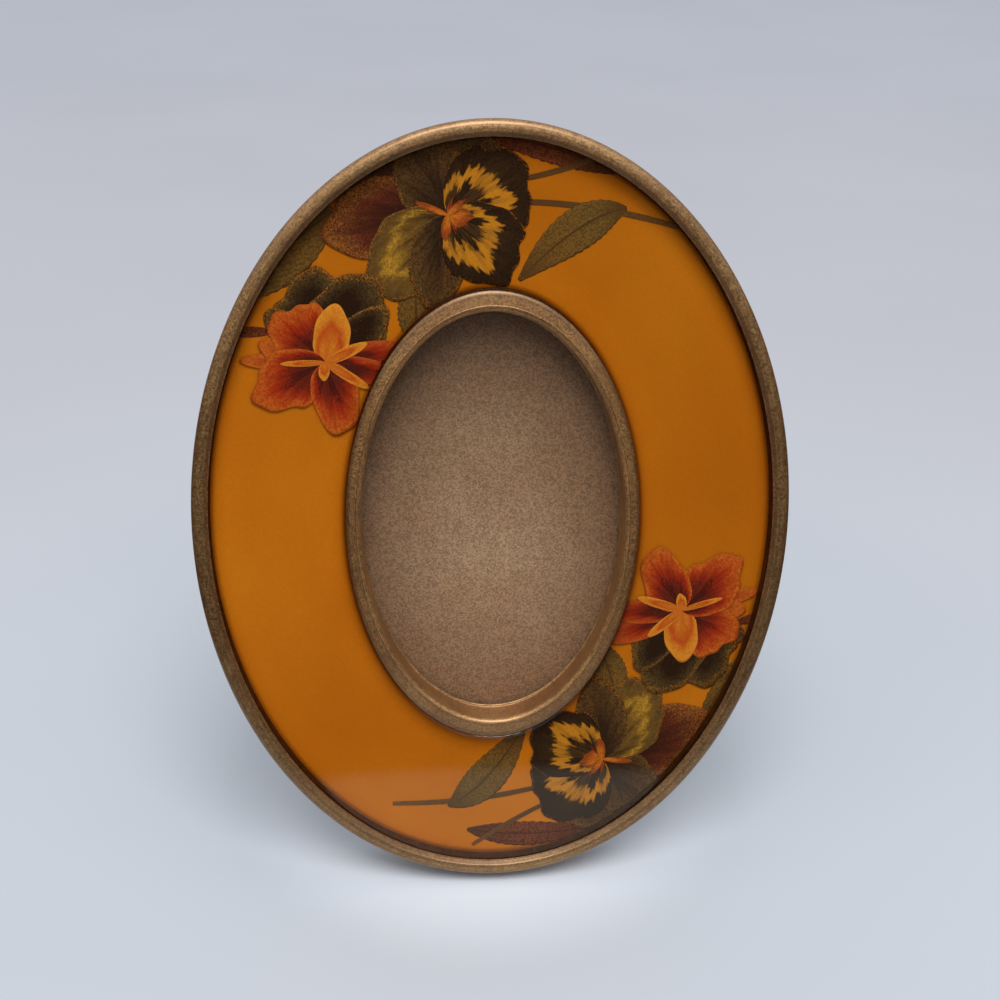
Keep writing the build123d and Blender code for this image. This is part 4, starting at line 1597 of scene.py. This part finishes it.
@dataclass
class BackHardware:
    """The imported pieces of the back, which keep their shapes and get their finishes here."""

    finishes: dict[str, SheetMetal] = field(
        default_factory=lambda: {
            "back_plate": SheetMetal(
                "aged_plate", linear(150, 128, 100), linear(96, 76, 58), Rolling.ACROSS, 0.46, 0.6, 0.85
            ),
            "easel_bracket": SheetMetal(
                "aged_steel", linear(158, 146, 128), linear(104, 86, 68), Rolling.UPRIGHT, 0.36, 0.4
            ),
            "bracket_rivets": SheetMetal("rivet_brass", linear(196, 160, 96), linear(132, 98, 58), age=0.3),
            "hinge_pin": SheetMetal("pin_steel", linear(176, 170, 160), linear(120, 104, 88), age=0.25, roughness=0.3),
            "turn_button": SheetMetal("button_brass", linear(192, 154, 92), linear(124, 92, 54), age=0.4),
            "button_screws": SheetMetal("screw_steel", linear(182, 176, 166), linear(124, 108, 92), roughness=0.28),
        }
    )

    def build(self) -> None:
        """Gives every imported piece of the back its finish."""
        made = {key: finish.material() for key, finish in self.finishes.items()}
        sharing = {"easel_leg": "easel_bracket", "button_washers": "button_screws"}
        for name, node in frame["nodes"].items():
            key = "turn_button" if name.startswith("turn_button") else sharing.get(name, name)
            if key in made:
                node.data.materials.clear()
                node.data.materials.append(made[key])
                LOG.info("finish %s on packed piece %s", self.finishes[key].name, name)


# The studio


@dataclass
class Studio:
    """Floor, lamps, the dark flag that the resin mirrors, and the camera.

    The camera's place is given from the middle of the face: its distance, how far it stands above the face's normal
    and to the left, its focal length in pixels of the square picture, and the shift of the picture in pixels.
    Distance, front plane and sensor are in millimetres, everything else in metres.
    """

    picture: float = 1000.0
    distance: float = 200.0
    above: float = 16.45
    left: float = 3.6
    focal: float = 1504.0
    shift: tuple[float, float] = (5.95, 24.94)
    front_plane: float = 9.0
    sensor: float = 36.0
    clip: tuple[float, float] = (0.01, 20.0)
    painted_light_near_colour: Colour = linear(209, 214, 221)
    floor_colour: Colour = linear(181, 186, 192)
    middle_colour: Colour = linear(185, 185, 190)
    far_colour: Colour = linear(194, 195, 201)
    floor_start: float = 0.02
    floor_width: float = 3.0
    floor_height: float = -2e-5
    floor_rings: int = 24
    floor_turns: int = 96
    key_radiance: float = 8.0
    key_distance: float = 0.8
    key_elevation: float = 62.0
    key_size: float = 0.5
    key_aim: float = 0.05
    horizon: float = 0.32
    zenith: float = 0.95
    room_light: Colour = linear(244, 248, 255)
    room_seen: Colour = linear(186, 189, 199)
    flag_radii: tuple[float, ...] = (0.078, 0.14, 0.22, 0.34, 0.34, 0.34)
    flag_heights: tuple[float, ...] = (0.001, 0.001, 0.001, 0.001, 0.085, 0.17)
    flag_fade: float = 0.014
    flag_turn: float = 125.0
    flag_turns: int = 61

    def camera(self) -> bpy.types.Object:
        """Places the camera: it looks at the middle of the face from distance times its direction in face terms.

        Returns:
            The camera.
        """
        above, left = math.radians(self.above), math.radians(self.left)
        direction = np.array([-math.sin(left), math.sin(above) * math.cos(left), math.cos(above) * math.cos(left)])
        target = np.array([0.0, 0.0, self.front_plane])
        eye = Vector(PLACE.world(target + self.distance * direction))
        forward = (Vector(PLACE.world(target)) - eye).normalized()
        right = forward.cross(Vector(PLACE.up)).normalized()
        up = right.cross(forward)
        data = bpy.data.cameras.new("photo_camera")
        data.sensor_width = self.sensor
        data.lens = self.focal / self.picture * data.sensor_width
        data.shift_x, data.shift_y = self.shift[0] / self.picture, self.shift[1] / self.picture
        data.clip_start, data.clip_end = self.clip
        camera = bpy.data.objects.new("photo_camera", data)
        bpy.context.scene.collection.objects.link(camera)
        turned = Matrix((right, up, -forward)).transposed().to_4x4()
        camera.matrix_world = Matrix.Translation(eye) @ turned
        bpy.context.scene.camera = camera
        return camera

    def floor(self) -> bpy.types.Object:
        """A wide floor: rings of radius start + width s^2.2, for s from 0 to 1, with painted light close to the object
        and a little darker further out.

        Returns:
            The floor.
        """
        rings, turns = self.floor_rings, self.floor_turns
        radius = self.floor_start + self.floor_width * np.linspace(0, 1, rings) ** 2.2
        angle = np.arange(turns) * (2 * math.pi / turns)
        x, y = np.cos(angle)[:, None] * radius, np.sin(angle)[:, None] * radius
        points = np.stack([x, y, np.full_like(x, self.floor_height)], -1).reshape(-1, 3)
        points = np.concatenate([points, [[0, 0, self.floor_height]]])
        numbers = np.arange(turns) * rings
        fan = np.stack([np.full(turns, turns * rings), numbers, np.roll(numbers, -1)], -1)
        r = Recipe("pale_floor")
        place = r.place()
        away = r.node("VectorMath", {0: place}, operation="LENGTH").outputs["Value"]
        # Painted light close to the object, which lightens its contact shadow.
        colour = r.mix(r.span(away, 0.02, 0.04), self.painted_light_near_colour, self.floor_colour)
        colour = r.mix(r.span(away, 0.05, 0.2), colour, self.middle_colour)
        colour = r.mix(r.span(away, 0.2, 0.75), colour, self.far_colour)
        colour = r.toned(colour, r.span(r.noise(place, 9.0, 2.0), 0.3, 0.7, 0.985, 1.015))
        material = r.surface({"Base Color": colour, "Roughness": 0.6, "Specular IOR Level": 0.0})
        quads = wrapped_quads(turns, rings, False)[:, ::-1]
        floor = make_piece("studio_floor", points, [quads, fan], material)
        return floor

    def flag(self) -> bpy.types.Object:
        """A dark card in front, seen only in the gloss.

        It lies on the floor from near to far and then stands up: (R sin a, -R cos a, z) round the object.

        Returns:
            The card.
        """
        angle = np.radians(np.linspace(-self.flag_turn, self.flag_turn, self.flag_turns))[:, None]
        radius, height = np.array(self.flag_radii)[None, :], np.array(self.flag_heights)[None, :]
        x, y, z = np.broadcast_arrays(np.sin(angle) * radius, -np.cos(angle) * radius, height)
        points = np.stack([x, y, z], -1).reshape(-1, 3)
        r = Recipe("dark_flag")
        place = r.place()
        weave = r.mix(r.noise(place, 400.0), (0.05, 0.03, 0.02), (0.07, 0.045, 0.032))
        dark = r.node("BsdfDiffuse", {"Color": weave}).outputs[0]
        clear = r.node("BsdfTransparent").outputs[0]
        away = r.node("VectorMath", {0: place}, operation="LENGTH").outputs["Value"]
        share = r.span(away, self.flag_radii[0], self.flag_radii[0] + self.flag_fade)
        quads = wrapped_quads(self.flag_turns, len(self.flag_radii), False, False)
        flag = make_piece("dark_flag", points, [quads], r.shell(share, clear, dark))
        flag.visible_camera = flag.visible_diffuse = flag.visible_shadow = flag.visible_transmission = False
        return flag

    def lamps(self) -> None:
        """One wide soft key from above in front, and a pale room that is brighter overhead than all round."""
        elevation = math.radians(self.key_elevation)
        aim = Vector((0.0, 0.0, self.key_aim))
        eye = aim + Vector((0.0, -math.cos(elevation), math.sin(elevation))) * self.key_distance
        data = bpy.data.lights.new("key", "AREA")
        data.shape, data.size = "DISK", self.key_size
        data.energy = self.key_radiance * math.pi * math.pi * (self.key_size / 2) ** 2
        key = bpy.data.objects.new("key", data)
        key.matrix_world = Matrix.Translation(eye) @ (aim - eye).to_track_quat("-Z", "Y").to_matrix().to_4x4()
        bpy.context.scene.collection.objects.link(key)
        world = bpy.data.worlds.new("room")
        bpy.context.scene.world = world
        r = Recipe("room", world)
        upward = r.node("SeparateXYZ", {0: r.node("TexCoord").outputs["Generated"]}).outputs["Z"]
        rise = r.span(upward, 0.0, 0.85, self.horizon, self.zenith)
        lit = r.node("Background", {"Color": self.room_light, "Strength": rise}).outputs[0]
        seen = r.node("Background", {"Color": self.room_seen}).outputs[0]
        mixed = r.node("MixShader", {0: r.node("LightPath").outputs["Is Camera Ray"], 1: lit, 2: seen}).outputs[0]
        r.tree.links.new(mixed, r.node("OutputWorld").inputs["Surface"])

    def build(self) -> None:
        """Sets the stage."""
        self.camera()
        self.floor()
        self.flag()
        self.lamps()
        bpy.context.scene.view_settings.view_transform = "Standard"


def main() -> None:
    """Builds the sub-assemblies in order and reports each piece."""
    casting = Casting()
    pieces = casting.build()
    pieces += PrintAndResin(casting.channel(), casting.bezel).build()
    pieces += Window().build()
    BackHardware().build()
    Studio().build()
    for piece in pieces:
        LOG.info("piece %s: %d points", piece.name, len(piece.data.vertices))


if __name__ == "__main__":
    main()
